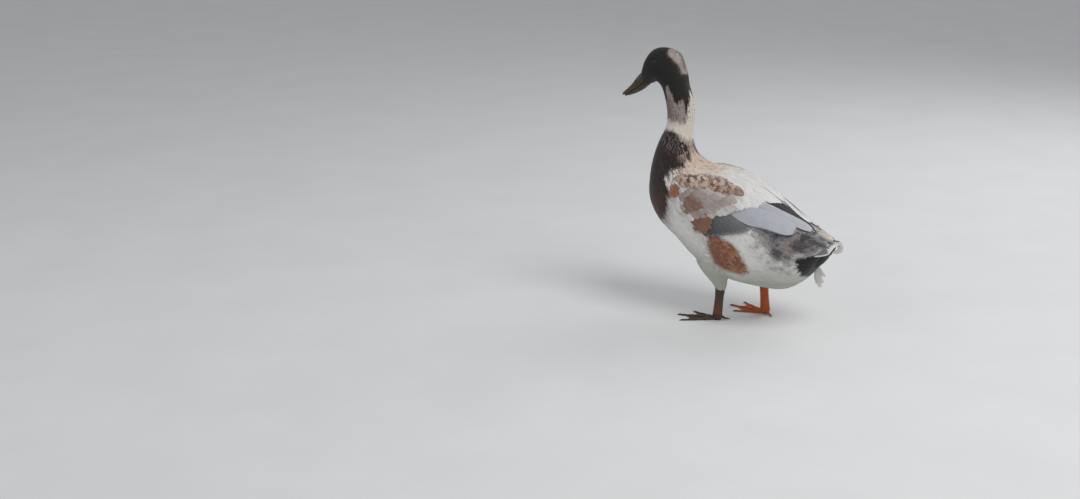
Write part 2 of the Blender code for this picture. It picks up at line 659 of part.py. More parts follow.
def make_foot(word, side, ankle):
    """Three toes joined by webs, a raised hind toe, and the claws as nodes of their own."""
    heading = FOOT_OUTWARD * side
    pieces, tips = [], {}
    for name, spread, length, thick in TOES:
        along, across = toe_frame(heading + spread * side)
        points, faces = toe_mesh(ankle + along * TOE_START * CM, along, across, length * CM, thick * CM)
        pieces.append(closed_object("toe_" + name, points, faces))
        tips[name] = (ankle + along * (length + TOE_START) * CM, along, across, thick * CM / 2)
    for first, second in (("inner", "middle"), ("middle", "outer")):
        pieces.append(web_between(ankle, tips[first][0], tips[second][0]))
    along, across = toe_frame(heading + 180 + HIND_TURN * side)
    hind_root = ankle + np.array([0, 0, HIND_ROOT_Z]) * CM
    hind = np.array([hind_root + (along * t - [0, 0, HIND_DROP * t]) * CM for t in HIND_STEPS])
    rings = leaning_rings(hind, across, np.array(HIND_RADII) * CM)
    rings[-1] += along * ((hind[-1] - rings[-1]) @ along)[:, None]
    pieces.append(closed_object("hind", *tube_mesh(rings)))
    tips["hind"] = (hind[-1], along, across, HIND_RADII[-1] * 0.9 * CM)
    centres = [ankle + [0, 0, z * CM] for z, _, _ in KNUCKLE_RINGS]
    knuckle = round_rings(centres, np.array([ring[1:] for ring in KNUCKLE_RINGS]) * CM, 12)
    foot = closed_object("foot_" + word, *tube_mesh(knuckle))
    boolean(foot, pieces, "UNION")
    renamed(foot, "foot_" + word, "leg_skin")
    for name, (tip, along, across, thick) in tips.items():
        make_claw(f"claw_{name}_{word}", tip, along, across, thick)


def leaning_rings(centres, across, radii, sides=8):
    """Round rings square to the way the centres run."""
    ways = np.gradient(centres, axis=0)
    turn = np.linspace(0, 2 * math.pi, sides, endpoint=False)[:, None]
    rings = []
    for centre, way, radius in zip(centres, ways, radii):
        up = np.cross(across, way / np.linalg.norm(way))
        rings.append(centre + (across * np.cos(turn) + up * np.sin(turn)) * radius)
    return np.array(rings)


def web_between(ankle, tip_a, tip_b):
    """A thin web between two toes, with a hollow front edge, a little above the floor."""
    t = np.linspace(0.12, 1, WEB_ROWS)[:, None, None]
    v = np.linspace(0, 1, WEB_COLUMNS)[None, :, None]
    reach = WEB_REACH - WEB_HOLLOW * np.sin(math.pi * v)
    a, b = tip_a - ankle, tip_b - ankle
    sheet = ankle + (a * (1 - v) + b * v) * t * reach
    sheet[..., 2] = WEB_TOP
    lower = sheet.copy()
    lower[..., 2] = WEB_BOTTOM
    return closed_object("web", *slab_mesh(sheet, lower))


def make_claw(name, tip, along, across, thick):
    """A short curved claw, a thin gap in front of the toe's end, with its point on or above the floor."""
    start = tip + along * GAP
    start = np.array([start[0], start[1], max(start[2], thick * 1.05)])
    drop = np.minimum(np.array(CLAW_DROP) * CM, max(start[2] - GAP, 0.0))
    radii = thick * np.array(CLAW_TAPER)
    centres = np.array([start + along * r * CM - [0, 0, d] for r, d in zip(CLAW_REACH, drop)])
    centres[:, 2] = np.maximum(centres[:, 2], radii * 1.02)
    rings = leaning_rings(centres, across, radii)
    rings[0] += along * ((start - rings[0]) @ along)[:, None]
    closed_object(name, *tube_mesh(rings), "claw")


def centre_on_floor():
    """Every node moves by the same shift, so the origin lies under the middle of the bird."""
    for obj in bpy.context.scene.objects:
        for vert in obj.data.vertices:
            vert.co.y += ORIGIN_SHIFT_Y


def main():
    for obj in list(bpy.data.objects):
        bpy.data.objects.remove(obj)
    make_head()
    make_bill()
    body_length("neck", HEAD_CUT, NECK_CUT, "neck_feathers")
    torso = body_length("torso", NECK_CUT, TAIL_CUT, "body_feathers")
    tail = make_tail()
    make_wings(torso, tail)
    make_leg(NEAR_LEG, torso)
    make_leg(FAR_LEG, torso)
    centre_on_floor()


main()
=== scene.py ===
import functools
import math

import bpy
import numpy as np
from mathutils import Matrix, Vector


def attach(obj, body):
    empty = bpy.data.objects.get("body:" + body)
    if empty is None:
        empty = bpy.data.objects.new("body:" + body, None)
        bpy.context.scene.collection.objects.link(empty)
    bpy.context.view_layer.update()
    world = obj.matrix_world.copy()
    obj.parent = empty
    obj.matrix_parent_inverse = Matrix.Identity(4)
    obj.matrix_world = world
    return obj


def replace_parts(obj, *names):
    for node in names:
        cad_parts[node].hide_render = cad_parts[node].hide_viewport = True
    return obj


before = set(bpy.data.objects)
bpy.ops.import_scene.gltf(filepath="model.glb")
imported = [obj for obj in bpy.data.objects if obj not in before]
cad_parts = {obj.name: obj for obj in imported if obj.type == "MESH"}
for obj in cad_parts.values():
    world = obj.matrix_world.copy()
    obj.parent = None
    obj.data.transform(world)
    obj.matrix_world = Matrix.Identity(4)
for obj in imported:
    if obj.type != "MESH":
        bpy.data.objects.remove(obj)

bl_info = {
    "name": "Welsh Harlequin Drake",
    "version": (1, 0, 0),
    "blender": (4, 5, 0),
    "location": "3D View > Sidebar > Drake",
    "description": "Skin, plumage, bill, eyes, legs and studio for a life-size standing drake",
    "category": "Object",
}

CM, MM = 0.01, 0.001
# Turns a place written as (station number, degrees) into chart units
TO_CHART = np.array([1, math.radians(1)])
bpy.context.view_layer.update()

# The frame's origin lies under the middle of the bird, this far along Y from the body's own measures
ORIGIN_Y = -2.07 * CM

# Body: back point (y, z), front point (y, z), half width in centimetres, share of the depth below the widest place
STATIONS = [
    ((-15.45, 42.45), (-14.2, 40.3), 1.20, 0.50),
    ((-14.6, 44.8), (-13.25, 40.7), 2.05, 0.47),
    ((-13.1, 46.65), (-12.4, 41.05), 2.50, 0.46),
    ((-10.9, 47.1), (-11.65, 40.85), 2.65, 0.47),
    ((-8.35, 46.35), (-11.05, 39.9), 2.65, 0.50),
    ((-7.15, 43.7), (-10.55, 38.5), 2.55, 0.52),
    ((-6.45, 40.75), (-10.25, 37.05), 2.40, 0.52),
    ((-5.4, 37.6), (-10.05, 35.2), 2.35, 0.50),
    ((-5.35, 34.15), (-10.3, 33.1), 2.60, 0.50),
    ((-5.5, 30.95), (-11.5, 30.35), 3.40, 0.50),
    ((-4.55, 28.35), (-12.3, 27.4), 4.60, 0.50),
    ((-1.95, 26.95), (-12.7, 24.05), 5.90, 0.50),
    ((1.75, 26.5), (-12.55, 20.4), 6.90, 0.49),
    ((5.25, 25.6), (-10.7, 16.8), 7.40, 0.48),
    ((9.0, 23.8), (-7.15, 13.75), 7.60, 0.47),
    ((12.4, 21.6), (-2.9, 10.1), 7.60, 0.46),
    ((15.4, 19.7), (2.5, 7.55), 7.30, 0.45),
    ((17.8, 18.3), (8.6, 6.75), 6.60, 0.46),
    ((19.4, 17.5), (13.4, 6.85), 5.60, 0.50),
    ((20.3, 17.0), (17.05, 9.05), 4.40, 0.55),
    ((20.8, 16.7), (19.6, 12.4), 3.20, 0.60),
    ((21.1, 16.3), (21.0, 14.6), 2.20, 0.60),
]
BODY_POWER = 0.93

# Bill: top point, bottom point, half width, share of the depth below the widest place
UPPER_BILL = [
    ((-15.45, 42.45), (-14.62, 40.92), 1.12, 0.2),
    ((-16.36, 41.46), (-15.46, 40.06), 1.08, 0.2),
    ((-17.28, 40.20), (-16.62, 39.24), 1.08, 0.2),
    ((-18.14, 39.30), (-17.70, 38.60), 1.20, 0.2),
    ((-18.76, 38.74), (-18.48, 38.20), 1.10, 0.2),
    ((-19.10, 38.32), (-18.98, 38.02), 0.62, 0.2),
]
# The top of the lower bill lies inside the upper one, which closes the mouth
LOWER_BILL = [
    ((-14.66, 41.04), (-14.20, 40.16), 1.00, 0.72),
    ((-15.52, 40.20), (-15.22, 39.30), 0.98, 0.72),
    ((-16.66, 39.38), (-16.43, 38.60), 0.98, 0.72),
    ((-17.72, 38.72), (-17.58, 38.12), 1.08, 0.70),
    ((-18.44, 38.30), (-18.36, 37.90), 0.84, 0.70),
]
BILL_POWER = 0.85
NOSTRIL = (-16.22, 40.9)
NAIL = (-18.86, 38.46)

EYE_PLACE = (-12.35, 44.8)
EYE_RADIUS = 5.6 * MM
# How far the ball stands out of the face, and how far the feathers keep off it
EYE_PROUD, EYE_GAP = 1.7 * MM, 0.5 * MM

# Folds of the face: middle (y, z) and reach in centimetres, lift in mm
FACE_FOLDS = [
    ((-11.7, 42.4), 1.5, 1.6),
    ((-14.1, 43.3), 0.8, -0.7),
    ((-12.3, 45.8), 0.7, 0.7),
    ((-13.4, 44.4), 0.5, -0.8),
    ((-11.2, 44.7), 0.6, -0.5),
    ((-9.5, 42.0), 1.6, 0.8),
]

# Folded arm on the left flank, as (station number, turn in degrees)
ARM_LOWER = [(11.9, 84), (12.7, 92), (13.6, 97.5), (14.15, 93), (14.35, 82), (14.5, 70), (14.7, 58)]
ARM_UPPER = [(11.3, 60), (11.5, 36), (12.1, 20), (12.8, 13), (13.5, 11), (14.0, 13), (14.4, 20)]
ARM_EDGE, ARM_BULGE = 1.2 * MM, 5.4 * MM
# The arm lifts only what lies between these stations and falls off over this distance past its edge. Places are
# compared with it this many at a time
ARM_REACH, ARM_FADE, BATCH = (10.3, 15.6), 7 * MM, 4000

# Coat at each station number: feather length, half width, depth of the coat, row gap, gap round the body, in mm
COAT = {
    0: (2.8, 0.65, 0.35, 0.9, 0.95),
    2: (4.0, 0.8, 0.45, 1.15, 1.2),
    5: (6.5, 1.0, 0.6, 1.5, 1.5),
    8: (10.0, 1.45, 0.9, 2.0, 2.1),
    10: (15.0, 2.1, 1.2, 2.7, 2.8),
    13: (20.0, 2.7, 1.5, 3.1, 3.3),
    17: (22.0, 2.8, 1.6, 3.2, 3.4),
    19: (18.0, 2.6, 1.4, 2.9, 3.1),
    21: (13.0, 2.2, 1.1, 2.4, 2.7),
}


def smooth(values, s):
    """Catmull-Rom curve through values at whole numbers, read at s and held at both ends."""
    values = np.asarray(values, float)
    last = len(values) - 1
    s = np.clip(np.asarray(s, float), 0, last)
    i = np.clip(np.floor(s).astype(int), 0, last - 1)
    t = s - i
    if values.ndim > 1:
        t = t[..., None]
    padded = np.concatenate([[2 * values[0] - values[1]], values, [2 * values[-1] - values[-2]]])
    a, b, c, d = (padded[i + k] for k in range(4))
    return 0.5 * (2 * b + (c - a) * t + (2 * a - 5 * b + 4 * c - d) * t**2 + (3 * b - a - 3 * c + d) * t**3)


def ring_turns(sides):
    """Even turns round a closed ring, as a row."""
    return np.linspace(0, 2 * math.pi, sides, endpoint=False)[None, :]


def shares(count):
    """Even shares from 0 to 1, as a column."""
    return np.linspace(0, 1, count)[:, None]


def side_view(points):
    """(y, z) of the points in the body's own side view, in centimetres."""
    return (points[..., 1] - ORIGIN_Y) / CM, points[..., 2] / CM


def unit(vectors):
    return vectors / np.maximum(np.linalg.norm(vectors, axis=-1, keepdims=True), 1e-12)


def mix(a, b, share):
    """a where share is 0, b where it is 1."""
    share = np.asarray(share)[..., None] if np.ndim(b) and np.ndim(share) < np.ndim(a) else share
    return a * (1 - share) + b * share


def noise(points, size, seed):
    """Smooth noise near -1 to 1: the scaled mean of six sines along seeded directions, about size long a wave."""
    rng = np.random.default_rng(seed)
    ways = rng.normal(size=(6, points.shape[-1]))
    ways = unit(ways) * 2 * math.pi / size * rng.uniform(0.6, 1.7, (6, 1))
    return np.sin(points @ ways.T + rng.uniform(0, 2 * math.pi, 6)).mean(-1) * 1.7


class Chart:
    """A lofted surface read at (s, turn). s runs along the stations and turn goes round the section: 0 at the
    back point, 90 degrees at +X. A section is a super-ellipse in the plane of its back point, front point and X."""

    def __init__(self, stations, power):
        self.table = np.array([[*back, *front, width] for back, front, width, _ in stations]) * CM
        self.table = np.column_stack([self.table, [s[3] for s in stations]])
        self.power = power
        self.last = len(stations) - 1

    def section(self, s, turn):
        row = smooth(self.table, s)
        back, front, width, widest = row[..., 0:2], row[..., 2:4], row[..., 4], row[..., 5:6]
        middle = front + (back - front) * widest
        up, side = np.cos(turn), np.sin(turn)
        reach = np.where(up[..., None] > 0, back - middle, middle - front)
        plane = middle + reach * (np.sign(up) * np.abs(up) ** self.power)[..., None]
        out = width * np.sign(side) * np.abs(side) ** self.power
        return np.stack([out, plane[..., 0] + ORIGIN_Y, plane[..., 1]], -1)

    def point(self, s, turn):
        """The point at (s, turn). Past either end the surface goes straight on."""
        s, turn = np.broadcast_arrays(np.asarray(s, float), np.asarray(turn, float))
        held = np.clip(s, 0, self.last)
        made = self.section(held, turn)
        past = s - held
        if np.any(past):
            step = 0.05
            inner = np.clip(held, step, self.last - step)
            slope = (self.section(inner + step, turn) - self.section(inner - step, turn)) / (2 * step)
            made = made + slope * past[..., None]
        return made

    def steps(self, s, turn):
        """How the point moves for one station and for one radian."""
        ds, dt = 0.02, 0.01
        by_s = (self.point(s + ds, turn) - self.point(s - ds, turn)) / (2 * ds)
        by_turn = (self.point(s, turn + dt) - self.point(s, turn - dt)) / (2 * dt)
        return by_s, by_turn

    def normal(self, s, turn):
        by_s, by_turn = self.steps(s, turn)
        return unit(np.cross(by_turn, by_s))


class Thigh(Chart):
    """A leg's feathered upper part: level ellipses round a line that comes down out of the body."""

    CENTRES = [(1.12, -0.75, 12.0), (1.12, -0.8, 10.8), (1.08, -0.8, 9.0), (1.02, -0.5, 7.6), (1.0, -0.15, 6.65),
               (1.0, 0.0, 6.1)]
    SIZES = [(2.5, 4.0), (2.45, 3.75), (1.95, 2.6), (1.4, 1.7), (1.0, 1.25), (0.82, 1.0)]

    def __init__(self, x, hock_y):
        centres = np.array(self.CENTRES) * [x, 1, 1] + [0, hock_y, 0]
        self.table = np.column_stack([centres, self.SIZES]) * CM
        self.last = len(self.table) - 1

    def section(self, s, turn):
        row = smooth(self.table, s)
        x = row[..., 0] + row[..., 3] * np.sin(turn)
        y = row[..., 1] + row[..., 4] * np.cos(turn) + ORIGIN_Y
        return np.stack([x, y, np.broadcast_to(row[..., 2], x.shape)], -1)


BODY = Chart(STATIONS, BODY_POWER)
LEG_X = 3.7
LEGS = {"left": (LEG_X, 2.1, 2.5), "right": (-LEG_X, 8.2, 7.7)}
HOCK_Z, ANKLE_Z = 6.3 * CM, 1.25 * CM


def coat_size(s):
    """Length, half width, depth, row gap and gap round the body at station number s, in metres."""
    keys = list(COAT)
    table = np.array(list(COAT.values())) * MM
    return np.stack([np.interp(s, keys, column) for column in table.T], -1)


@functools.lru_cache(maxsize=1)
def flank_grid():
    """(s, turn) of a fine grid over the left flank, and its side-view points in centimetres."""
    s, turn = np.meshgrid(np.linspace(0, BODY.last, 841), np.linspace(0.02, 3.12, 400), indexing="ij")
    return [values.ravel() for values in (s, turn, *side_view(BODY.point(s, turn)))]


def side_place(y, z):
    """(s, turn) of the left flank at the side-view point (y, z) in centimetres."""
    s, turn, at_y, at_z = flank_grid()
    i = np.argmin((at_y - y) ** 2 + (at_z - z) ** 2)
    return s[i], turn[i]


# Where the wing covers the coat: from this station back and from this turn down
WING_FRONT, WING_TOP = 12.75, math.radians(50)

# Markings, in side view (y, z) in centimetres
HOOD = [(-22, 50), (-2, 50), (-4.5, 41), (-5.6, 38.6), (-5.7, 37.2), (-5.85, 35.8), (-6.1, 36.4), (-6.3, 37.5),
        (-6.5, 38.4), (-6.8, 38.8), (-6.9, 38.4), (-7.3, 37.6), (-7.7, 37.8), (-8.1, 38.3), (-8.4, 39.3),
        (-8.9, 39.9), (-9.1, 40.6), (-9.5, 40.5), (-9.6, 40.0), (-9.5, 38.7), (-10.0, 37.2), (-10.6, 36.6),
        (-13, 36.4), (-22, 40)]
NAPE = [(-10.1, 47.8), (-10.0, 46.9), (-9.8, 46.4), (-9.4, 46.0), (-8.8, 45.6), (-8.3, 45.1), (-7.9, 44.7),
        (-7.6, 44.1), (-7.3, 43.3), (-7.1, 42.9), (-6.9, 42.8), (-6.5, 43.4), (-5.5, 44.5), (-7.5, 48)]
NECK_FRONT = [(-13, 37), (-10.0, 37.3), (-9.5, 38.6), (-9.2, 38.9), (-8.8, 37.8), (-8.4, 36.3), (-8.4, 34.8),
              (-9.2, 34.8), (-13, 34.6)]
NECK_BACK = [(-6.05, 39.9), (-5.85, 38.9), (-5.7, 37.5), (-5.75, 36.4), (-5.9, 34.9), (-6.1, 33.8), (-6.4, 32.6),
             (-3.5, 32.4), (-4.5, 41)]
COLLAR = [(-13, 34.5), (-9.6, 34.8), (-9.0, 34.9), (-8.5, 34.3), (-7.6, 34.6), (-6.6, 34.2), (-4.0, 34.6),
          (-4.0, 32.3), (-6.3, 32.5), (-8.1, 33.1), (-9.4, 33.0), (-13, 33.1)]
BREAST = [(-14, 33.2), (-10.3, 32.9), (-8.1, 33.1), (-6.9, 32.5), (-6.3, 31.4), (-5.7, 31.0), (-5.3, 30.2),
          (-4.9, 29.0), (-4.8, 28.1), (-5.1, 27.0), (-6.6, 26.4), (-7.7, 25.1), (-7.2, 24.0), (-6.3, 22.7),
          (-6.6, 20.8), (-7.7, 18.2), (-8.7, 16.6), (-10.4, 14.6), (-13, 13.4), (-20, 14), (-20, 33)]
MANTLE = [(-5.6, 32.2), (-3.0, 32), (1.4, 28), (3.4, 26.4), (0.6, 26.0), (-4.0, 25.8), (-6.4, 26.0), (-4.9, 28.0)]
COVERTS = [(-3.3, 23.0), (-2.6, 24.4), (0.6, 23.9), (3.6, 23.2), (6.2, 22.7), (6.4, 21.4), (4.6, 20.8), (2.4, 19.9),
           (1.0, 19.8)]
RUST_HIGH = [(-3.4, 22.6), (-0.9, 22.8), (0.9, 21.6), (1.1, 19.9), (-0.6, 19.4), (-2.5, 19.3), (-3.4, 21.2)]
RUST_LOW = [(0.1, 19.4), (2.3, 19.9), (3.0, 18.6), (3.1, 17.2), (1.0, 16.6), (-1.1, 16.6), (-1.5, 17.5), (0.1, 18.4)]
THIGH_PATCH = [(1.3, 16.8), (2.6, 17.2), (4.4, 16.1), (5.9, 15.6), (7.1, 14.4), (8.4, 12.4), (8.8, 10.8), (7.5, 9.8),
               (6.3, 10.0), (4.1, 10.3), (2.6, 11.1), (1.8, 13.1), (1.5, 15.0)]
RUMP = [(9.9, 18.2), (12.9, 18.6), (15.8, 18.7), (17.6, 18.4), (18.9, 17.9), (20.2, 17.1), (21.3, 16.3),
        (21.1, 15.7), (19.6, 14.9), (17.2, 14.4), (15.7, 12.9), (14.6, 13.6), (13.4, 13.3), (11.8, 15.6),
        (10.7, 16.7)]
VENT = [(16.8, 13.9), (17.2, 14.2), (20.2, 14.7), (23, 15.6), (21.5, 12), (19.6, 9.6), (18.5, 9.3), (17.4, 10.6),
        (16.9, 12.2)]
LACED_PATCH = [(-4.2, 26.0), (-1.9, 26.3), (0.1, 26.2), (2.4, 25.6), (4.7, 24.8), (6.4, 23.8), (6.4, 23.3),
               (4.5, 23.0), (2.5, 23.5), (0.4, 24.0), (-0.6, 23.7), (-2.3, 24.0), (-3.9, 24.5)]
NAPE_LINE = [(-9, 47), (-7.4, 46), (-6.6, 43.8), (-7.6, 43.6)]
RUMP_FRINGE = [(9.5, 18), (12, 15.4), (13.6, 13.2), (15.8, 12.6), (16.4, 10.6), (12, 12), (9, 15.4)]
# Painted shade: the lower belly and lower flank are white, and are painted a dark green-grey for the shade under the
# body and the green light reflected onto it
SHADED_BELLY = [(-8, 16), (-1, 12.2), (6, 9.6), (12, 10.6), (18, 10.4), (20, 7), (8, 3), (-4, 4), (-9, 11)]
MANTLE_SIDE = [(-6.4, 30), (-4.4, 31), (-1.0, 27.6), (0.4, 26.6), (-4.6, 26.2), (-6.2, 26.6)]
LOW_BREAST = [(-18, 22.6), (-9, 23.0), (-6.2, 22.6), (-6.5, 20.4), (-7.4, 18), (-8.6, 15.2), (-12, 12), (-18, 13)]
LOWER_NECK = [(-16, 40), (-3, 41), (-3, 34), (-16, 34.4)]
COLLAR_FRONT = [(-13, 34.4), (-9.4, 34.8), (-8.6, 34.4), (-8.8, 33.6), (-9.8, 32.9), (-13, 33)]
TAIL_BASE = [(15.6, 15.0), (17.4, 14.9), (19.4, 15.1), (21.0, 16.2), (19.6, 17.0), (17.6, 17.2), (15.8, 16.8)]
SHOULDER_SPOT, SPOT_RADIUS = (-5.15, 23.2), 1.35

# The order in which the markings are laid: colour, outline, soft edge, raggedness along the lie, strength
MARKS = [
    # Painted shade and painted green reflection over the white of the lower belly and flank
    ("belly", SHADED_BELLY, 4.0, 0.5, 0.75),
    ("cream", MANTLE, 2.2, 0.5, 0.9),
    ("fawn", MANTLE_SIDE, 1.8, 0.6, 0.65),
    ("breast", BREAST, 0.7, 0.35, 1.0),
    ("chestnut_dark", LOW_BREAST, 3.0, 0.8, 0.75),
    ("neck_grey", LOWER_NECK, 0.9, 0.4, 1.0),
    ("neck_fawn", NECK_FRONT, 0.9, 0.3, 0.75),
    ("cream", COLLAR, 0.6, 0.3, 0.75),
    ("white", COLLAR_FRONT, 0.5, 0.25, 0.8),
    ("head_black", HOOD, 0.3, 0.35, 1.0),
    ("nape_fawn", NAPE, 0.2, 0.14, 1.0),
    ("cream", NECK_BACK, 0.25, 0.12, 0.95),
    ("lace_pale", LACED_PATCH, 0.5, 0.3, 0.6),
    ("covert", COVERTS, 1.2, 0.3, 0.85),
    ("rust", RUST_HIGH, 0.9, 0.25, 0.9),
    ("rust", RUST_LOW, 0.6, 0.2, 1.0),
    ("chestnut", THIGH_PATCH, 0.8, 0.3, 1.0),
    ("rump_grey", RUMP, 1.4, 0.6, 0.9),
    ("slate", TAIL_BASE, 1.0, 0.6, 0.8),
    ("vent_black", VENT, 0.5, 0.25, 1.0),
]


def inside(outline, y, z, soft):
    """Share that (y, z) lies inside the outline, from 0 to 1 over soft centimetres across its edge."""
    a = np.array(outline, float)
    b = np.roll(a, -1, 0)
    edge = b - a
    p = np.stack([y, z], -1)[..., None, :]
    along = np.clip(((p - a) * edge).sum(-1) / (edge * edge).sum(-1), 0, 1)
    off = np.linalg.norm(p - a - along[..., None] * edge, axis=-1).min(-1)
    rise = np.where(b[:, 1] == a[:, 1], 1e-9, b[:, 1] - a[:, 1])
    high = z[..., None]
    crossed = ((a[:, 1] > high) != (b[:, 1] > high)) & (y[..., None] < edge[:, 0] * (high - a[:, 1]) / rise + a[:, 0])
    sign = np.where(crossed.sum(-1) % 2 == 1, 1, -1)
    return np.clip(0.5 + sign * off / soft, 0, 1)


def plumage(points, tones, s=None, turn=None):
    """Colour of the coat at points of the body, by painting the markings one over another. With (s, turn) given,
    the edge of a marking runs out in streaks along the lie."""
    y, z = side_view(points)
    if s is None:
        streak = noise(points, 0.02, 3)
    else:
        broad, fine = np.stack([turn * 9, s * 0.9], -1), np.stack([turn * 26, s * 1.4], -1)
        streak = noise(broad, 3.0, 5) + 0.6 * noise(fine, 3.0, 7)
    made = np.broadcast_to(tones["white"], points.shape).copy()
    # The white turns a little cream above the shoulder
    warm = np.clip((z - 24) / 4, 0, 1) * 0.35
    made = mix(made, tones["cream"], warm)
    for tone, outline, soft, ragged, strength in MARKS:
        # The lie in side view: down the neck, or back along the body
        down = np.array([0.35, -0.94]) if tone in ("head_black", "nape_fawn", "neck_grey") else np.array([0.94, -0.35])
        share = inside(outline, y - down[0] * streak * ragged, z - down[1] * streak * ragged, soft)
        made = mix(made, tones[tone], share * strength)
    spot = np.clip((SPOT_RADIUS - np.hypot(y - SHOULDER_SPOT[0], z - SHOULDER_SPOT[1]) + streak * 0.1) / 0.35, 0, 1)
    made = mix(made, tones["chestnut"], spot)
    return made


def pad_lift(s, turn):
    """Height of the folded arm over the body at a place, from the nearest place of a grid over the arm."""
    place, high = arm_grid(61, 41)
    at = BODY.point(place[..., 0], place[..., 1]).reshape(-1, 3)
    here = BODY.point(s, np.abs(turn))
    shape = here.shape[:-1]
    here = here.reshape(-1, 3)
    made = np.zeros(len(here))
    station = np.ravel(np.broadcast_to(s, shape))
    near = np.flatnonzero((station > ARM_REACH[0]) & (station < ARM_REACH[1]))
    for part in np.array_split(near, max(1, len(near) // BATCH)):
        off = ((here[part, None, :] - at[None]) ** 2).sum(-1)
        i = off.argmin(1)
        reach = np.sqrt(off[np.arange(len(part)), i])
        made[part] = high.ravel()[i] * np.clip(1.15 - reach / ARM_FADE, 0, 1)
    return made.reshape(shape)


def arm_grid(rows, columns):
    """Chart places and heights of the folded arm: its two outlines blended, bulging in the middle."""
    u, v = np.linspace(0, len(ARM_LOWER) - 1, rows), np.linspace(0, 1, columns)
    lower, upper = smooth(np.array(ARM_LOWER) * TO_CHART, u), smooth(np.array(ARM_UPPER) * TO_CHART, u)
    place = lower[:, None] * (1 - v[None, :, None]) + upper[:, None] * v[None, :, None]
    along = np.sin(math.pi * (0.04 + 0.92 * np.linspace(0, 1, rows)))[:, None]
    over = np.clip(np.sin(math.pi * v), 0, 1)[None, :]
    return place, ARM_EDGE + ARM_BULGE * over**0.6 * along**0.5


def head_relief(points):
    """Folds of the face as a lift: full cheeks, a hollow lore, a ridge over the eye and a hollow round it."""
    y, z = side_view(points)
    flank = np.clip(np.abs(points[..., 0]) / CM / 1.6, 0, 1) ** 2
    made = np.zeros(y.shape)
    for (at_y, at_z), size, lift in FACE_FOLDS:
        made = made + lift * MM * np.exp(-((y - at_y) ** 2 + (z - at_z) ** 2) / size**2)
    return made * flank


def chart_step(by_s, by_turn, move):
    """(ds, dturn) that moves the surface point by the tangent vector move."""
    a, b, c = (by_s * by_s).sum(-1), (by_s * by_turn).sum(-1), (by_turn * by_turn).sum(-1)
    p, q = (by_s * move).sum(-1), (by_turn * move).sum(-1)
    det = np.maximum(a * c - b * b, 1e-16)
    return np.stack([(c * p - b * q) / det, (a * q - b * p) / det], -1)


def walk(chart, roots, heading, lengths, rows):
    """Chart places (n, rows, 2) of lines that start at the roots and cross the surface at an angle off the lie."""
    places = [roots]
    for a, b in zip(rows, rows[1:]):
        s, turn = places[-1][:, 0], places[-1][:, 1]
        by_s, by_turn = chart.steps(s, turn)
        lie = unit(by_s)
        side = unit(np.cross(lie, np.cross(by_turn, by_s)))
        move = (np.cos(heading)[:, None] * lie + np.sin(heading)[:, None] * side) * (lengths * (b - a))[:, None]
        places.append(places[-1] + chart_step(by_s, by_turn, move))
    return np.stack(places, 1)


def lay(chart, places, half_widths, lifts, columns, thick, relief=None):
    """Upper and lower sheets (n, rows, columns, 3) of vanes on the surface. Each column lies sideways of the
    line by its share of the half width; lifts (n, rows, columns) raise it along the surface's normal."""
    s, turn = places[..., 0], places[..., 1]
    by_s, by_turn = chart.steps(s, turn)
    ahead = np.gradient(places, axis=1)
    way = by_s * ahead[..., :1] + by_turn * ahead[..., 1:]
    side = unit(np.cross(way, np.cross(by_turn, by_s)))
    across = chart_step(by_s, by_turn, side)
    spread = np.asarray(columns) * half_widths[..., None]
    at = places[:, :, None, :] + across[:, :, None, :] * spread[..., None]
    base, out = chart.point(at[..., 0], at[..., 1]), chart.normal(at[..., 0], at[..., 1])
    if relief is not None:
        lifts = lifts + relief(at[..., 0], at[..., 1], base)
    half = thick / 2 * (1 - np.asarray(columns) ** 2)
    return base + out * (lifts + half)[..., None], base + out * (lifts - half)[..., None]


def vane_object(name, upper, lower, tint, bake, finish, flip=False, marks=None):
    """One mesh of closed vanes. The ring of each row runs over the upper sheet's columns and back through the
    lower sheet's inner ones; rings are joined by quads and both ends are capped. flip mirrors the piece in X.
    tint (n, rows, columns, 3) is the colour, bake (n, 2) each vane's place in the unwrap, marks one number a vane."""
    count, rows, columns = upper.shape[:3]
    back = slice(columns - 2, 0, -1)
    ring = np.concatenate([upper, lower[:, :, back]], 2)
    # Painted shade: the lower sheet carries the upper sheet's colour, 20% darker
    colour = np.concatenate([tint, tint[:, :, back] * 0.8], 2)
    u = np.linspace(0, 1, columns)
    u = np.broadcast_to(np.concatenate([u, u[back]]), ring.shape[:3])
    v = np.broadcast_to(np.linspace(0, 1, rows)[None, :, None], ring.shape[:3])
    if flip:
        ring, colour, u = ring[:, :, ::-1] * [-1, 1, 1], colour[:, :, ::-1], u[:, :, ::-1]
    sides = ring.shape[2]
    loops, totals = tube_faces(rows, sides)
    loops = (loops[None] + np.arange(count)[:, None] * rows * sides).ravel()
    totals = np.tile(totals, count)
    vane_uv = np.stack([u, v], -1).reshape(-1, 2)
    patch = np.broadcast_to(bake[:, None, None, :], (count, rows, sides, 2)).reshape(-1, 2)
    bake_uv = 0.01 + 0.98 * patch + (vane_uv - 0.5) * 0.003
    attributes = {"Tint": colour.reshape(-1, 3)}
    for key, values in (marks or {}).items():
        attributes[key] = np.repeat(values, rows * sides)
    uvs = {"Vane": vane_uv, "OFBake": bake_uv}
    return mesh_piece(name, ring.reshape(-1, 3), loops, totals, finish, uvs, attributes, 50)


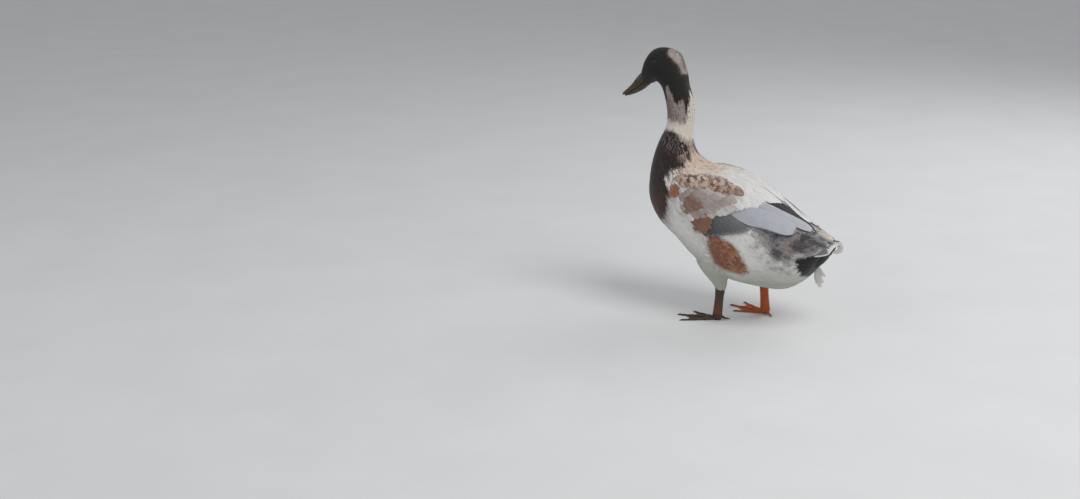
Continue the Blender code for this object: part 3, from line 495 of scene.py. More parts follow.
def mesh_piece(name, points, loops, totals, finish, uvs=None, attributes=None, sharp=60):
    """An object from flat arrays: vertices, corner indices and corners a face, with UV maps and colours by vertex."""
    mesh = bpy.data.meshes.new(name)
    mesh.vertices.add(len(points))
    mesh.vertices.foreach_set("co", np.asarray(points, np.float32).ravel())
    mesh.loops.add(len(loops))
    mesh.loops.foreach_set("vertex_index", np.asarray(loops, np.int32))
    mesh.polygons.add(len(totals))
    starts = np.concatenate([[0], np.cumsum(totals)[:-1]])
    mesh.polygons.foreach_set("loop_start", starts.astype(np.int32))
    mesh.update(calc_edges=True)
    for uv_name, uv in (uvs or {}).items():
        layer = mesh.uv_layers.new(name=uv_name)
        layer.data.foreach_set("uv", np.asarray(uv, np.float32)[loops].ravel())
    for key, values in (attributes or {}).items():
        add_attribute(mesh, key, values)
    mesh.shade_smooth()
    mesh.set_sharp_from_angle(angle=math.radians(sharp))
    mesh.materials.append(finish)
    made = bpy.data.objects.new(name, mesh)
    bpy.context.scene.collection.objects.link(made)
    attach(made, "root")
    return made


def add_attribute(mesh, key, values):
    """A colour (n, 3) or a number (n,) for each vertex."""
    values = np.asarray(values, np.float32)
    if values.ndim == 2:
        layer = mesh.attributes.new(key, "FLOAT_COLOR", "POINT")
        layer.data.foreach_set("color", np.column_stack([values, np.ones(len(values))]).astype(np.float32).ravel())
    else:
        layer = mesh.attributes.new(key, "FLOAT", "POINT")
        layer.data.foreach_set("value", values)


def tube_faces(rows, sides):
    """Corner indices and corners a face of a closed tube through rings, wound to face out where the rings run
    in the order of a chart's turn and the rows in the order of s."""
    i, j = np.meshgrid(np.arange(rows - 1), np.arange(sides), indexing="ij")
    k = (j + 1) % sides
    quads = np.stack([i * sides + j, i * sides + k, (i + 1) * sides + k, (i + 1) * sides + j], -1).reshape(-1, 4)
    caps = [np.arange(sides)[::-1], (rows - 1) * sides + np.arange(sides)]
    return np.concatenate([quads.ravel(), *caps]), np.concatenate([np.full(len(quads), 4), [sides, sides]])


def turned(points, loops, totals):
    """The corner indices, reversed face by face if the closed mesh that they make is inside out."""
    starts = np.concatenate([[0], np.cumsum(totals)[:-1]])
    centre = points.mean(0)
    a, b, c = (points[loops[starts + k]] - centre for k in range(3))
    if np.einsum("ij,ij->i", a, np.cross(b, c)).sum() < 0:
        return np.concatenate([loops[s:s + n][::-1] for s, n in zip(starts, totals)])
    return loops


def tube_piece(name, rings, finish, tint=None, uv=None):
    """A closed tube through rings (rows, sides, 3) that faces out whichever way they run, with a UV map round
    and along it where uv names one."""
    rows, sides = rings.shape[:2]
    points = rings.reshape(-1, 3)
    loops, totals = tube_faces(rows, sides)
    v, u = np.meshgrid(np.linspace(0, 1, rows), np.abs(np.linspace(-1, 1, sides)), indexing="ij")
    uvs = {uv: np.stack([u, v], -1).reshape(-1, 2)} if uv else None
    attributes = None if tint is None else {"Tint": np.asarray(tint).reshape(-1, 3)}
    return mesh_piece(name, points, turned(points, loops, totals), totals, finish, uvs, attributes)


# Materials


class Shader:
    """A node material under construction, with its Principled shader."""

    def __init__(self, name, roughness, **sockets):
        self.material = bpy.data.materials.new(name)
        self.material.use_nodes = True
        self.tree = self.material.node_tree
        self.main = self.tree.nodes["Principled BSDF"]
        self.main.inputs["Roughness"].default_value = roughness
        for key, value in sockets.items():
            self.main.inputs[key.replace("_", " ")].default_value = value

    def node(self, kind, values=None, links=None, **settings):
        """A node with its settings, its socket values and what feeds it."""
        made = self.tree.nodes.new("ShaderNode" + kind)
        for key, value in settings.items():
            setattr(made, key, value)
        for key, value in (values or {}).items():
            made.inputs[key].default_value = value
        for key, source in (links or {}).items():
            self.tree.links.new(source, made.inputs[key])
        return made

    def link(self, source, socket):
        self.tree.links.new(source, self.main.inputs[socket])

    def attribute(self, key, output="Fac"):
        return self.node("Attribute", attribute_name=key, attribute_type="GEOMETRY").outputs[output]

    def tint(self):
        return self.attribute("Tint", "Color")

    def place(self):
        return self.node("TexCoord").outputs["Object"]

    def noise(self, scale, detail=3.0):
        return self.node("TexNoise", {"Scale": scale, "Detail": detail}, {"Vector": self.place()}).outputs["Fac"]

    def math(self, operation, a, b=0.5):
        """One Math node: a and b are each a socket or a number."""
        made = self.node("Math", operation=operation)
        for i, source in enumerate((a, b)):
            if isinstance(source, (int, float)):
                made.inputs[i].default_value = source
            else:
                self.tree.links.new(source, made.inputs[i])
        return made.outputs[0]

    def spread(self, source, low, high, to_low=0.0, to_high=1.0):
        """The source's low to high stretched to to_low to to_high."""
        values = {"From Min": low, "From Max": high, "To Min": to_low, "To Max": to_high}
        return self.node("MapRange", values, {"Value": source}).outputs["Result"]

    def blend(self, share, a, b, mode="MIX"):
        """Colour a blended with colour b by share."""
        made = self.node("Mix", data_type="RGBA", blend_type=mode)
        for socket, source in ((made.inputs[0], share), (made.inputs[6], a), (made.inputs[7], b)):
            if isinstance(source, bpy.types.NodeSocket):
                self.tree.links.new(source, socket)
            else:
                socket.default_value = source
        return made.outputs[2]

    def bump(self, height, strength, distance=0.001, after=None):
        links = {"Height": height}
        if after is not None:
            links["Normal"] = after
        return self.node("Bump", {"Strength": strength, "Distance": distance}, links).outputs["Normal"]


def vane_parts(shader):
    """From a vane's own UV map: height of its barbs, distance off the shaft (0 to 1) and share of its length.
    The barbs are fine lines that run from the shaft outwards and towards the tip."""
    uv = shader.node("UVMap", uv_map="Vane").outputs["UV"]
    split = shader.node("SeparateXYZ", links={"Vector": uv})
    off = shader.math("MULTIPLY", shader.math("ABSOLUTE", shader.math("SUBTRACT", split.outputs["X"], 0.5)), 2.0)
    down, lean = shader.math("MULTIPLY", split.outputs["Y"], 420.0), shader.math("MULTIPLY", off, 60.0)
    line = shader.math("SUBTRACT", down, lean)
    return shader.math("SINE", line), off, split.outputs["Y"]


def shaded(shader, colour, shade):
    """The colour times a grey shade."""
    grey = shader.node("CombineXYZ", links={"X": shade, "Y": shade, "Z": shade}).outputs[0]
    return shader.blend(1.0, colour, grey, "MULTIPLY")


def laced(shader, colour, off, along, dark):
    """A dark rim and dark blotches on a vane, where its Lace attribute is above 0."""
    past = shader.math("MAXIMUM", shader.math("DIVIDE", shader.math("SUBTRACT", along, 0.62), 0.38), 0.0)
    far = shader.math("SQRT", shader.math("ADD", shader.math("POWER", off, 2.0), shader.math("POWER", past, 2.0)))
    far = shader.math("ADD", far, shader.spread(shader.noise(110.0, 2.0), 0.3, 0.7, -0.15, 0.15))
    rim = shader.spread(far, 0.7, 0.84)
    blotch = shader.spread(shader.noise(125.0, 2.0), 0.5, 0.56)
    dark_part = shader.math("MAXIMUM", shader.math("MULTIPLY", rim, 0.8), blotch)
    share = shader.math("MULTIPLY", shader.attribute("Lace"), dark_part)
    return shader.blend(share, colour, (*dark, 1))


def plumage_finish(name, roughness, sheen, grain=0.1, speckled=False, barbs=0.0, lace=None):
    """Feathers: the painted colour broken by fine streaks, with barbs, vermiculation or lacing where asked."""
    shader = Shader(name, roughness, Sheen_Weight=sheen, Sheen_Roughness=0.5, Specular_IOR_Level=0.22)
    fine, soft = shader.noise(700.0, 2.0), shader.noise(80.0, 3.0)
    streaks = shader.spread(fine, 0.3, 0.7, 1 - grain, 1 + grain * 0.5)
    drift = shader.spread(soft, 0.3, 0.7, -0.05, 0.04)
    colour = shaded(shader, shader.tint(), shader.math("ADD", streaks, drift))
    height, strength = fine, 0.15
    if speckled:
        crumbs = shader.spread(shader.noise(520.0, 2.0), 0.46, 0.62)
        share = shader.math("MULTIPLY", shader.math("MULTIPLY", shader.attribute("Speckle"), crumbs), 0.6)
        colour = shader.blend(share, colour, (0.06, 0.055, 0.055, 1))
    if barbs:
        lines, off, along = vane_parts(shader)
        if lace is not None:
            colour = laced(shader, colour, off, along, lace)
        colour = shader.blend(shader.spread(lines, -1, 1, 0.0, barbs), colour, (0.1, 0.095, 0.095, 1))
        height, strength = lines, 0.15
    shader.link(colour, "Base Color")
    shader.link(shader.bump(height, strength, 0.0003), "Normal")
    return shader.material


def two_tone(name, roughness, scale, detail, dark, pale, bump=None, **sockets):
    """Two colours blended by noise, which also raises the surface by bump = (strength, distance) where given."""
    shader = Shader(name, roughness, **sockets)
    grain = shader.noise(scale, detail)
    shader.link(shader.blend(shader.spread(grain, 0.3, 0.7), (*dark, 1), (*pale, 1)), "Base Color")
    if bump:
        shader.link(shader.bump(grain, *bump), "Normal")
    return shader.material


def horn(name, roughness, scale, detail, shade, gloss, cell_scale, cell_bump, soft_bump=0.0, **sockets):
    """Painted horn or skin: its colour and roughness vary with noise over shade and gloss, and small cells raise it."""
    shader = Shader(name, roughness, **sockets)
    soft = shader.noise(scale, detail)
    cells = shader.node("TexVoronoi", {"Scale": cell_scale}, {"Vector": shader.place()}).outputs["Distance"]
    shader.link(shaded(shader, shader.tint(), shader.spread(soft, 0.3, 0.7, *shade)), "Base Color")
    shader.link(shader.spread(soft, 0.3, 0.7, *gloss), "Roughness")
    under = shader.bump(soft, soft_bump, 0.001) if soft_bump else None
    shader.link(shader.bump(cells, cell_bump, 0.0005, under), "Normal")
    return shader.material


# Sizes and colours that a user would change


def tone(name, description, red, green, blue):
    return bpy.props.FloatVectorProperty(
        name=name, description=description, subtype="COLOR", size=3, min=0.0, max=1.0, default=(red, green, blue)
    )


def number(name, description, default, **limits):
    return bpy.props.FloatProperty(name=name, description=description, default=default, **limits)


class DrakeTones(bpy.types.PropertyGroup):
    """Colours of the plumage, bill, legs and eyes."""

    white: tone("White", "Flank, belly, collar and tail", 0.78, 0.765, 0.74)
    # Painted shade and reflected green light laid over the white belly and lower flank, not their own colour
    belly: tone("Belly", "Shaded belly and lower flank", 0.33, 0.355, 0.28)
    cream: tone("Cream", "Back of the neck and mantle", 0.76, 0.68, 0.58)
    fawn: tone("Fawn", "Mantle beside the neck and coverts", 0.60, 0.42, 0.32)
    head_black: tone("Head", "Hood", 0.018, 0.0175, 0.016)
    nape_fawn: tone("Nape", "Pale patch on the nape", 0.34, 0.27, 0.25)
    neck_grey: tone("Lower neck", "Grey fawn below the hood", 0.34, 0.285, 0.265)
    neck_fawn: tone("Throat", "Brown fawn of the lower throat", 0.19, 0.135, 0.095)
    breast: tone("Breast", "Dark breast", 0.023, 0.0165, 0.016)
    chestnut_dark: tone("Low breast", "Chestnut of the lower breast", 0.058, 0.028, 0.019)
    chestnut: tone("Chestnut", "Thigh patch and shoulder spot", 0.35, 0.15, 0.085)
    rust: tone("Rust", "Front edge of the wing", 0.25, 0.13, 0.085)
    rump_grey: tone("Rump", "Mottled rump", 0.15, 0.145, 0.15)
    vent_black: tone("Undertail", "Undertail coverts", 0.016, 0.018, 0.016)
    lace: tone("Lacing", "Dark bands of the scapulars", 0.14, 0.07, 0.05)
    lace_pale: tone("Laced centre", "Pale centres of the scapulars", 0.62, 0.44, 0.36)
    covert: tone("Coverts", "Wing coverts", 0.36, 0.285, 0.255)
    slate: tone("Secondaries", "Secondary feathers", 0.08, 0.082, 0.083)
    lavender: tone("Tertials", "Large tertial feathers", 0.49, 0.50, 0.55)
    black: tone("Primaries", "Primary feathers and dark edges", 0.028, 0.027, 0.034)
    bill_olive: tone("Bill", "Ridge and base of the bill", 0.085, 0.075, 0.03)
    bill_brown: tone("Bill side", "Sides of the bill", 0.075, 0.045, 0.032)
    bill_dark: tone("Bill streak", "Dark streak and lower edge of the bill", 0.024, 0.02, 0.011)
    bill_orange: tone("Bill tip", "Brown tip and edges of the bill", 0.15, 0.075, 0.02)
    leg: tone("Legs", "Scaled legs and feet", 0.52, 0.105, 0.022)
    # Dark brown of the near leg: partly painted shade, partly dirt; the same colour also darkens the seams between
    # scales
    mud: tone("Leg stain", "Darker stain on the near leg", 0.046, 0.036, 0.025)
    iris: tone("Iris", "Dark brown iris", 0.009, 0.005, 0.0035)


# The photograph's focal length in pixels, and its pixels to the metre at the bird
FOCAL_PIXELS, PIXELS_A_METRE = 1500, 570


class DrakeSizes(bpy.types.PropertyGroup):
    """Sizes of the coat and places of the studio's camera."""

    feather_scale: number("Feather scale", "Length and width of the contour feathers", 1.0, min=0.5, max=2.0)
    vane_thick: number("Vane thickness", "Thickness of a contour feather at its shaft", 0.16 * MM, unit="LENGTH")
    flight_thick: number("Flight feather thickness", "Thickness of a wing or tail feather", 0.45 * MM, unit="LENGTH")
    azimuth: number("View azimuth", "Camera's direction round the bird", math.radians(112), unit="ROTATION")
    elevation: number("View elevation", "Camera's height angle", math.radians(14), unit="ROTATION")
    distance: number("View distance", "From the camera to the aim point", FOCAL_PIXELS / PIXELS_A_METRE,
                     unit="LENGTH")
    lens: number("Lens", "Focal length in millimetres on a 36 mm sensor", 50.0)


def tone_arrays():
    """The colours as arrays."""
    group = bpy.context.scene.drake_tones
    return {key: np.array(getattr(group, key)) for key in DrakeTones.__annotations__}


def sow(chart, start, end, rng, sizes=coat_size, low=-math.pi, high=math.pi):
    """Root places in staggered, jittered rows. Rows step by their gap along the most stretched line round the
    body, and roots are thinned where the lines run closer, so that they keep an even density."""
    made, s, row = [], start, 0
    while s < end:
        _, _, _, along_gap, across_gap = sizes(s)
        probe = np.linspace(low, high, 33)
        by_s, by_turn = chart.steps(np.full(33, s), probe)
        stretch = np.linalg.norm(by_s, axis=1)
        girth = np.linalg.norm(by_turn, axis=1).mean() * (high - low)
        count = max(6, int(girth / across_gap))
        turn = low + (high - low) * (np.arange(count) + 0.5 * (row % 2) + rng.uniform(-0.3, 0.3, count)) / count
        local = np.interp(turn, probe, stretch)
        keep = rng.random(count) < local / stretch.max() * 1.05
        places = np.column_stack([s + rng.uniform(-0.45, 0.45, count) * along_gap / stretch.max(), turn])
        made.append(places[keep])
        s += along_gap / stretch.max()
        row += 1
    return np.concatenate(made)


# Rows of a contour feather as shares of its length, and its width at each
VANE_ROWS = {
    "short": ([0.0, 0.45, 0.82, 1.0], [0.5, 1.0, 0.8, 0.15]),
    "long": ([0.0, 0.4, 0.7, 0.9, 1.0], [0.45, 0.95, 1.0, 0.62, 0.12]),
}


def contour(name, chart, roots, finish, tones, rng, kind="long", sizes=coat_size, drop=None):
    """Contour feathers: each starts deep in the coat and its tip lies on the outside, over the next row. Roots
    whose vanes drop(chart, places) marks are left out."""
    rows, widths = (np.array(values) for values in VANE_ROWS[kind])
    columns = np.array([-1.0, 0.0, 1.0])
    scale = bpy.context.scene.drake_sizes.feather_scale
    size = sizes(roots[:, 0])
    length = size[:, 0] * rng.uniform(0.82, 1.18, len(roots)) * scale
    places = walk(chart, roots, rng.normal(0, 0.1, len(roots)), length, rows)
    if drop is not None:
        keep = ~drop(chart, places)
        places, roots, size = places[keep], roots[keep], size[keep]
    count = len(roots)
    half = size[:, 1] * rng.uniform(0.8, 1.2, count) * scale
    half_widths = half[:, None] * widths * rng.uniform(0.85, 1.15, (count, len(rows)))
    deep = size[:, 2][:, None]
    rise = -deep * (1 - rows) ** 1.2 + rng.uniform(-0.06, 0.12, (count, 1)) * deep
    cup = (half_widths * 0.07)[..., None] * (1 - columns**2)
    tilt = rng.uniform(-0.05, 0.05, (count, 1, 1)) * half[:, None, None] * columns

    def relief(s, turn, base):
        if chart is not BODY:
            return 0.0
        return (head_relief(base) if s.min() < 7 else 0.0) + (pad_lift(s, turn) if s.max() > 10 else 0.0)

    thick = bpy.context.scene.drake_sizes.vane_thick
    upper, lower = lay(chart, places, half_widths, rise[..., None] + cup + tilt, columns, thick, relief)
    seen = places[:, -2]
    at = chart.point(seen[:, 0], seen[:, 1])
    colour = plumage(at, tones, *((seen[:, 0], seen[:, 1]) if chart is BODY else ()))
    tint = colour[:, None, None, :] * np.ones((1, len(rows), 3, 1))
    # Each vane varies a little in tone, and is painted up to 10% darker towards its root as shade under the row above
    tint *= rng.uniform(0.93, 1.04, (count, 1, 1, 1)) * (0.9 + 0.1 * rows)[None, :, None, None]
    tint, speckle = feather_marks(tint, at, tones, rows, rng)
    bake = np.column_stack([roots[:, 1] / (2 * math.pi) + 0.5, (roots[:, 0] - roots[:, 0].min()) / np.ptp(roots[:, 0])])
    return vane_object(name, upper, lower, tint, np.clip(bake, 0, 1), finish, marks={"Speckle": speckle})


# Marks inside single feathers, in side view: outline, soft edge, share of the feathers, strength, part, colour
FEATHER_MARKS = [
    ([(-9.8, 32.8), (-6.8, 32.6), (-5.8, 30.4), (-7.6, 29.4), (-9.2, 29.8), (-10.2, 31.4)],
     1.6, 0.4, 0.35, "all", "nape_fawn"),
    ([(-14, 32), (-7, 32), (-5.2, 27), (-8, 26), (-14, 26)], 2.4, 0.3, 0.1, "rim", "nape_fawn"),
    ([(-16, 26), (-8.5, 26), (-6.6, 25.0), (-6.0, 20), (-8, 16), (-16, 14)], 2.0, 0.6, 0.08, "rim", "chestnut"),
    ([(-6.6, 31.6), (-5.0, 32), (-4.6, 29.6), (-5.4, 27.6), (-6.4, 28.6)], 0.9, 0.4, 0.5, "all", "lace_pale"),
    ([(-12, 38.6), (-5.0, 39), (-4.4, 34.2), (-12, 34.6)], 1.0, 0.16, 0.6, "all", "breast"),
    (NAPE, 0.6, 0.12, 0.6, "all", "breast"),
    (NAPE, 0.9, 0.35, 0.4, "all", "cream"),
    (THIGH_PATCH, 1.0, 0.4, 0.4, "all", "chestnut_dark"),
    (THIGH_PATCH, 1.0, 0.22, 0.3, "rim", "fawn"),
    ([(0.5, 16), (4, 15), (5.5, 11), (3, 9.5), (1, 12)], 2.5, 0.8, 0.3, "all", "chestnut_dark"),
    ([(-8.4, 26.4), (-5.6, 26.8), (-3.8, 26.2), (-4.4, 24.7), (-6.0, 24.6), (-7.6, 24.9)],
     0.8, 0.42, 0.75, "all", "lace"),
    ([(-5.5, 31), (-2, 29), (1, 27.6), (3, 26.4), (-1, 26.4), (-5, 26.9)], 1.2, 0.16, 0.55, "all", "lace"),
    ([(1, 27.2), (7, 25.4), (10, 23.5), (8, 23), (2, 25.6)], 1.0, 0.1, 0.3, "all", "covert"),
    ([(-3.2, 22.8), (0.8, 22.8), (2.6, 19.6), (0, 19), (-2.8, 19.4)], 0.8, 0.3, 0.35, "all", "cream"),
]


def feather_marks(tint, at, tones, rows, rng):
    """Marks of single feathers, the blotches of the rump and the line down the nape; and the vermiculation's
    strength for each feather."""
    y, z = side_view(at)
    edges = np.array([1.0, 0.0, 1.0])[None] * rows[:, None]
    parts = {"all": np.ones((len(rows), 3)), "rim": np.maximum(edges, (rows > 0.85)[:, None])}
    chance = rng.random(len(at))
    for outline, soft, count, strength, part, colour in FEATHER_MARKS:
        share = inside(outline, y, z, soft) * (chance < count) * strength
        tint = mix(tint, tones[colour], (parts[part][None] * share[:, None, None])[..., None])
        chance = (chance + 0.37) % 1.0
    line = np.exp(-((at[:, 0] / CM / 0.35) ** 2)) * inside(NAPE_LINE, y, z, 0.8)
    tint = mix(tint, tones["breast"], (line * 0.75)[:, None, None, None])
    rump = inside(RUMP, y, z, 1.6)
    blotch = np.clip(noise(at, 0.022, 21) + 0.7 * noise(at, 0.009, 22) + rng.normal(0, 0.18, len(at)), -1, 1)
    tint = mix(tint, tones["black"] * 1.8, (rump * np.clip(blotch * 0.95, 0, 0.8))[:, None, None, None])
    tint = mix(tint, tones["covert"] * 1.15, (rump * np.clip(-blotch * 0.6, 0, 0.45))[:, None, None, None])
    below = inside(RUMP_FRINGE, y, z, 1.6)
    flecks = below * np.clip(noise(at, 0.016, 23) + 0.1, 0, 1) * 0.55
    tint = mix(tint, tones["rump_grey"], flecks[:, None, None, None])
    return tint, np.clip(rump * 0.75 + below * 0.5, 0, 0.8)


def on_eye(chart, places):
    """True for feathers that would lie over an eye."""
    centre, _ = eye_axis()
    at = chart.point(places[..., 0], places[..., 1])
    at[..., 0] = np.abs(at[..., 0])
    return (np.linalg.norm(at - centre, axis=-1) < EYE_RADIUS + EYE_GAP).any(1)


def under_wing(chart, places):
    """True for feathers whose tips would lie under the coverts of the folded wing: over its raised part, off the
    back and behind the shoulder, which reaches less far at the side of the back."""
    s, turn = places[:, -1, 0], np.abs(places[:, -1, 1])
    behind = s > WING_FRONT - 0.35 * (turn < 1.1)
    return (pad_lift(s, turn) > 1.8 * MM) & (turn > WING_TOP) & behind


def eye_axis():
    """Centre of the left eyeball and the way it looks."""
    s, turn = side_place(*EYE_PLACE)
    out = BODY.normal(s, turn)
    return BODY.point(s, turn) + out * (EYE_PROUD - EYE_RADIUS), out


class DrakeOperator(bpy.types.Operator):
    """Shared by the operators: each makes its pieces and reports that it has finished."""

    bl_options = {"REGISTER", "UNDO"}

    def execute(self, context):
        self.make(tone_arrays())
        return {"FINISHED"}


class DRAKE_OT_skin(DrakeOperator):
    """Skin of head, neck, body, rump and thighs as one closed surface under the coat."""

    bl_idname = "drake.skin"
    bl_label = "Skin"

    def make(self, tones):
        s = np.linspace(0, BODY.last, 181)[:, None]
        turn = ring_turns(72)
        deep = coat_size(s)[..., 2]
        at = BODY.point(s, turn)
        rings = at + BODY.normal(s, turn) * (head_relief(at) - deep)[..., None]
        skin = tube_piece("skin", rings, plumage_finish("skin_finish", 0.85, 0.1))
        thighs = []
        for x, _, hock in LEGS.values():
            chart = Thigh(x, hock)
            around = ring_turns(40)
            down = np.linspace(0, chart.last, 26)[:, None]
            rings = chart.point(down, around) - chart.normal(down, around) * 1.2 * MM
            thighs.append(tube_piece("thigh_skin", rings, skin.data.materials[0]))
        join(skin, thighs)
        points = np.zeros(len(skin.data.vertices) * 3, np.float32)
        skin.data.vertices.foreach_get("co", points)
        points = points.reshape(-1, 3)
        # The skin carries the coat's markings, painted 10% darker as shade under the feathers
        add_attribute(skin.data, "Tint", plumage(points.astype(float), tones) * 0.9)
        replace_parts(skin, "head", "neck", "torso", "tail", "thigh_left", "thigh_right")


def join(base, others):
    """The other closed objects joined to base by a Boolean union, which is applied."""
    group = bpy.data.collections.new("pieces")
    bpy.context.scene.collection.children.link(group)
    for other in others:
        bpy.context.scene.collection.objects.unlink(other)
        group.objects.link(other)
    modifier = base.modifiers.new("join", "BOOLEAN")
    modifier.operation, modifier.operand_type, modifier.solver = "UNION", "COLLECTION", "MANIFOLD"
    modifier.collection = group
    bpy.context.view_layer.update()
    graph = bpy.context.evaluated_depsgraph_get()
    result = bpy.data.meshes.new_from_object(base.evaluated_get(graph))
    base.modifiers.remove(modifier)
    base.data = result
    for other in others:
        bpy.data.objects.remove(other)
    bpy.data.collections.remove(group)


class DRAKE_OT_coat(DrakeOperator):
    """Contour feathers of head, neck, body and thighs, smallest on the face."""

    bl_idname = "drake.coat"
    bl_label = "Contour feathers"

    PARTS = [
        ("face_coat", 0.05, 2.6, "short", "head_feathers"),
        ("head_coat", 2.6, 5.6, "short", "head_feathers"),
        ("neck_coat", 5.6, 7.6, "short", "neck_feathers"),
        ("collar_coat", 7.6, 9.6, "short", "neck_feathers"),
        ("breast_coat", 9.6, 12.9, "long", "body_feathers"),
        ("flank_coat", 12.9, 14.6, "long", "body_feathers"),
        ("rump_coat", 16.2, 20.6, "long", "body_feathers"),
        ("loin_coat", 14.6, 16.2, "long", "body_feathers"),
    ]

    def make(self, tones):
        plain = plumage_finish("head_plumage", 0.6, 0.1, 0.16)
        soft = plumage_finish("body_plumage", 0.82, 0.25, 0.07, speckled=True)
        for seed, (name, start, end, kind, slot) in enumerate(self.PARTS):
            rng = np.random.default_rng(20 + seed)
            roots = sow(BODY, start, end, rng)
            drop = on_eye if start < 5 else under_wing if start > 9 else None
            finish = plain if slot == "head_feathers" else soft
            piece = contour(name, BODY, roots, finish, tones, rng, kind, drop=drop)
        for word, (x, _, hock) in LEGS.items():
            chart = Thigh(x, hock)
            rng = np.random.default_rng(40)
            roots = sow(chart, 0.6, 4.75, rng, thigh_coat)
            piece = contour("thigh_coat_" + word, chart, roots, soft, tones, rng, "short", thigh_coat)


def thigh_coat(s):
    """Sizes of the thigh's feathers, as coat_size gives them for the body: shorter down to the hock."""
    low = np.clip(np.asarray(s, float) / 5, 0, 1)[..., None]
    return (np.array([15.0, 4.0, 1.5, 3.2, 3.6]) * (1 - low) + np.array([5.0, 1.7, 0.7, 1.6, 1.8]) * low) * MM


# Rows of coverts: number, root line, tip line as (station, turn), half width in cm, lift of the lowest and uppermost
# tip in mm over the arm, length of the blunt tip, strength of the dark edge
COVERT_ROWS = [
    (8, [(12.4, 91), (12.0, 60)], [(12.75, 92), (12.35, 59)], 0.52, (0.5, 0.6), 0.6, 0.0),
    (9, [(12.55, 95), (12.3, 57)], [(12.95, 95), (12.75, 55)], 0.56, (0.7, 0.8), 0.55, 0.0),
    (10, [(12.7, 98), (12.55, 56)], [(13.15, 97), (13.05, 53)], 0.6, (0.7, 0.9), 0.55, 0.05),
    (10, [(12.85, 99), (12.8, 54)], [(13.4, 97), (13.42, 51)], 0.62, (0.7, 1.0), 0.5, 0.05),
    (9, [(13.1, 96), (13.1, 53)], [(13.74, 93), (13.88, 49)], 0.68, (0.7, 1.0), 0.45, 0.1),
    (5, [(13.4, 94), (13.35, 80)], [(14.45, 93), (14.1, 80)], 0.68, (0.6, 0.7), 0.45, 0.05),
    (8, [(13.25, 80), (13.3, 53)], [(13.97, 77), (14.34, 49)], 0.72, (0.8, 1.1), 0.4, 0.45),
]
# Long feathers of the folded wing, topmost last: line as (station, turn), half width in cm, lifts in mm, colour,
# share of white, strength of the dark lower edge
PRIMARIES = [
    ([(13.9, 24), (15.0, 11), (16.1, 7), (17.2, 6.5)], 0.85, (0.7, 1.1, 1.2, 1.2), "black", 0.0, 0.0),
    ([(13.9, 18), (14.8, 5), (15.8, 2), (16.9, 2.5)], 0.6, (0.9, 1.4, 1.5, 1.5), "black", 0.0, 0.0),
]
FAR_PRIMARIES = [([(13.9, 30), (15.0, 17), (16.1, 10), (17.0, 9)], 0.5, (0.5, 0.7, 0.8, 0.9), "black", 0.0, 0.0)]
TERTIALS = [
    ([(14.0, 34), (14.95, 24), (15.7, 19), (16.3, 16)], 0.8, (1.6, 2.6, 2.6, 2.0), "lavender", 0.55, 0.5),
    ([(14.1, 38), (15.2, 25.5), (16.2, 16.5), (17.2, 11)], 1.12, (2.4, 3.8, 3.4, 2.3), "lavender", 0.12, 0.8),
    ([(13.55, 56), (14.55, 51), (15.1, 41.5), (15.85, 34), (16.5, 30)],
     1.62, (4.2, 5.2, 5.4, 4.8, 4.0), "lavender", 0.05, 0.85),
]
FAR_TERTIALS = [
    ([(14.0, 18), (14.95, 9), (15.9, 4.5), (16.6, 4.5)], 0.75, (1.6, 2.2, 2.2, 2.0), "lavender", 0.85, 0.2),
]
# Laced scapulars of the shoulder: root and tip in side view (y, z) in centimetres, half width in cm, share of rust
LACED = [
    ((-5.2, 25.9), (-2.9, 24.3), 0.8, 0.3),
    ((-4.2, 26.0), (-1.9, 25.0), 0.75, 0.15),
    ((-3.2, 25.9), (-1.3, 24.1), 0.85, 0.3),
    ((-2.6, 26.0), (-0.1, 25.3), 0.75, 0.1),
    ((-1.9, 26.0), (0.4, 24.2), 0.9, 0.3),
    ((-1.0, 26.0), (1.6, 24.9), 0.8, 0.15),
    ((-0.4, 25.9), (2.4, 23.8), 0.95, 0.4),
    ((0.4, 25.8), (3.6, 24.7), 0.8, 0.2),
    ((0.6, 25.6), (4.4, 23.4), 1.0, 0.5),
    ((1.6, 25.5), (5.2, 24.1), 0.85, 0.35),
    ((2.0, 25.3), (6.5, 23.3), 1.0, 0.6),
]


# Rows and columns of a flight feather's grid, the raised shaft along its middle, and the row that gives a covert
# its colour
FLIGHT_ROWS = np.array([0, 0.1, 0.2, 0.3, 0.4, 0.5, 0.6, 0.7, 0.78, 0.85, 0.9, 0.94, 0.97, 0.99, 1.0])
FLIGHT_COLUMNS = np.array([-1, -0.88, -0.5, -0.07, 0.0, 0.07, 0.5, 0.88, 1.0])
SHAFT = 0.2 * MM * (np.abs(FLIGHT_COLUMNS) < 0.05)
SEEN_ROW = 11
# Height of the coverts' bed behind the arm, and the station at which it starts
BED_HIGH, BED_START = 4.7 * MM, 13.35


def line_places(line, share):
    """Points (n, k) at each share of the way from the line's first point to its last."""
    first, last = (np.array(end, float) for end in line)
    return first + (last - first) * np.asarray(share)[:, None]


def round_tip(blunt, root=0.55):
    """Half width along a flight feather: rising from the root, full, then an elliptic tip."""
    rise = root + (1 - root) * np.clip(FLIGHT_ROWS / 0.35, 0, 1) ** 0.7
    tip = np.sqrt(np.clip(1 - (np.clip(FLIGHT_ROWS - (1 - blunt), 0, 1) / blunt) ** 2, 0, 1))
    return rise * np.maximum(tip, 0.04)


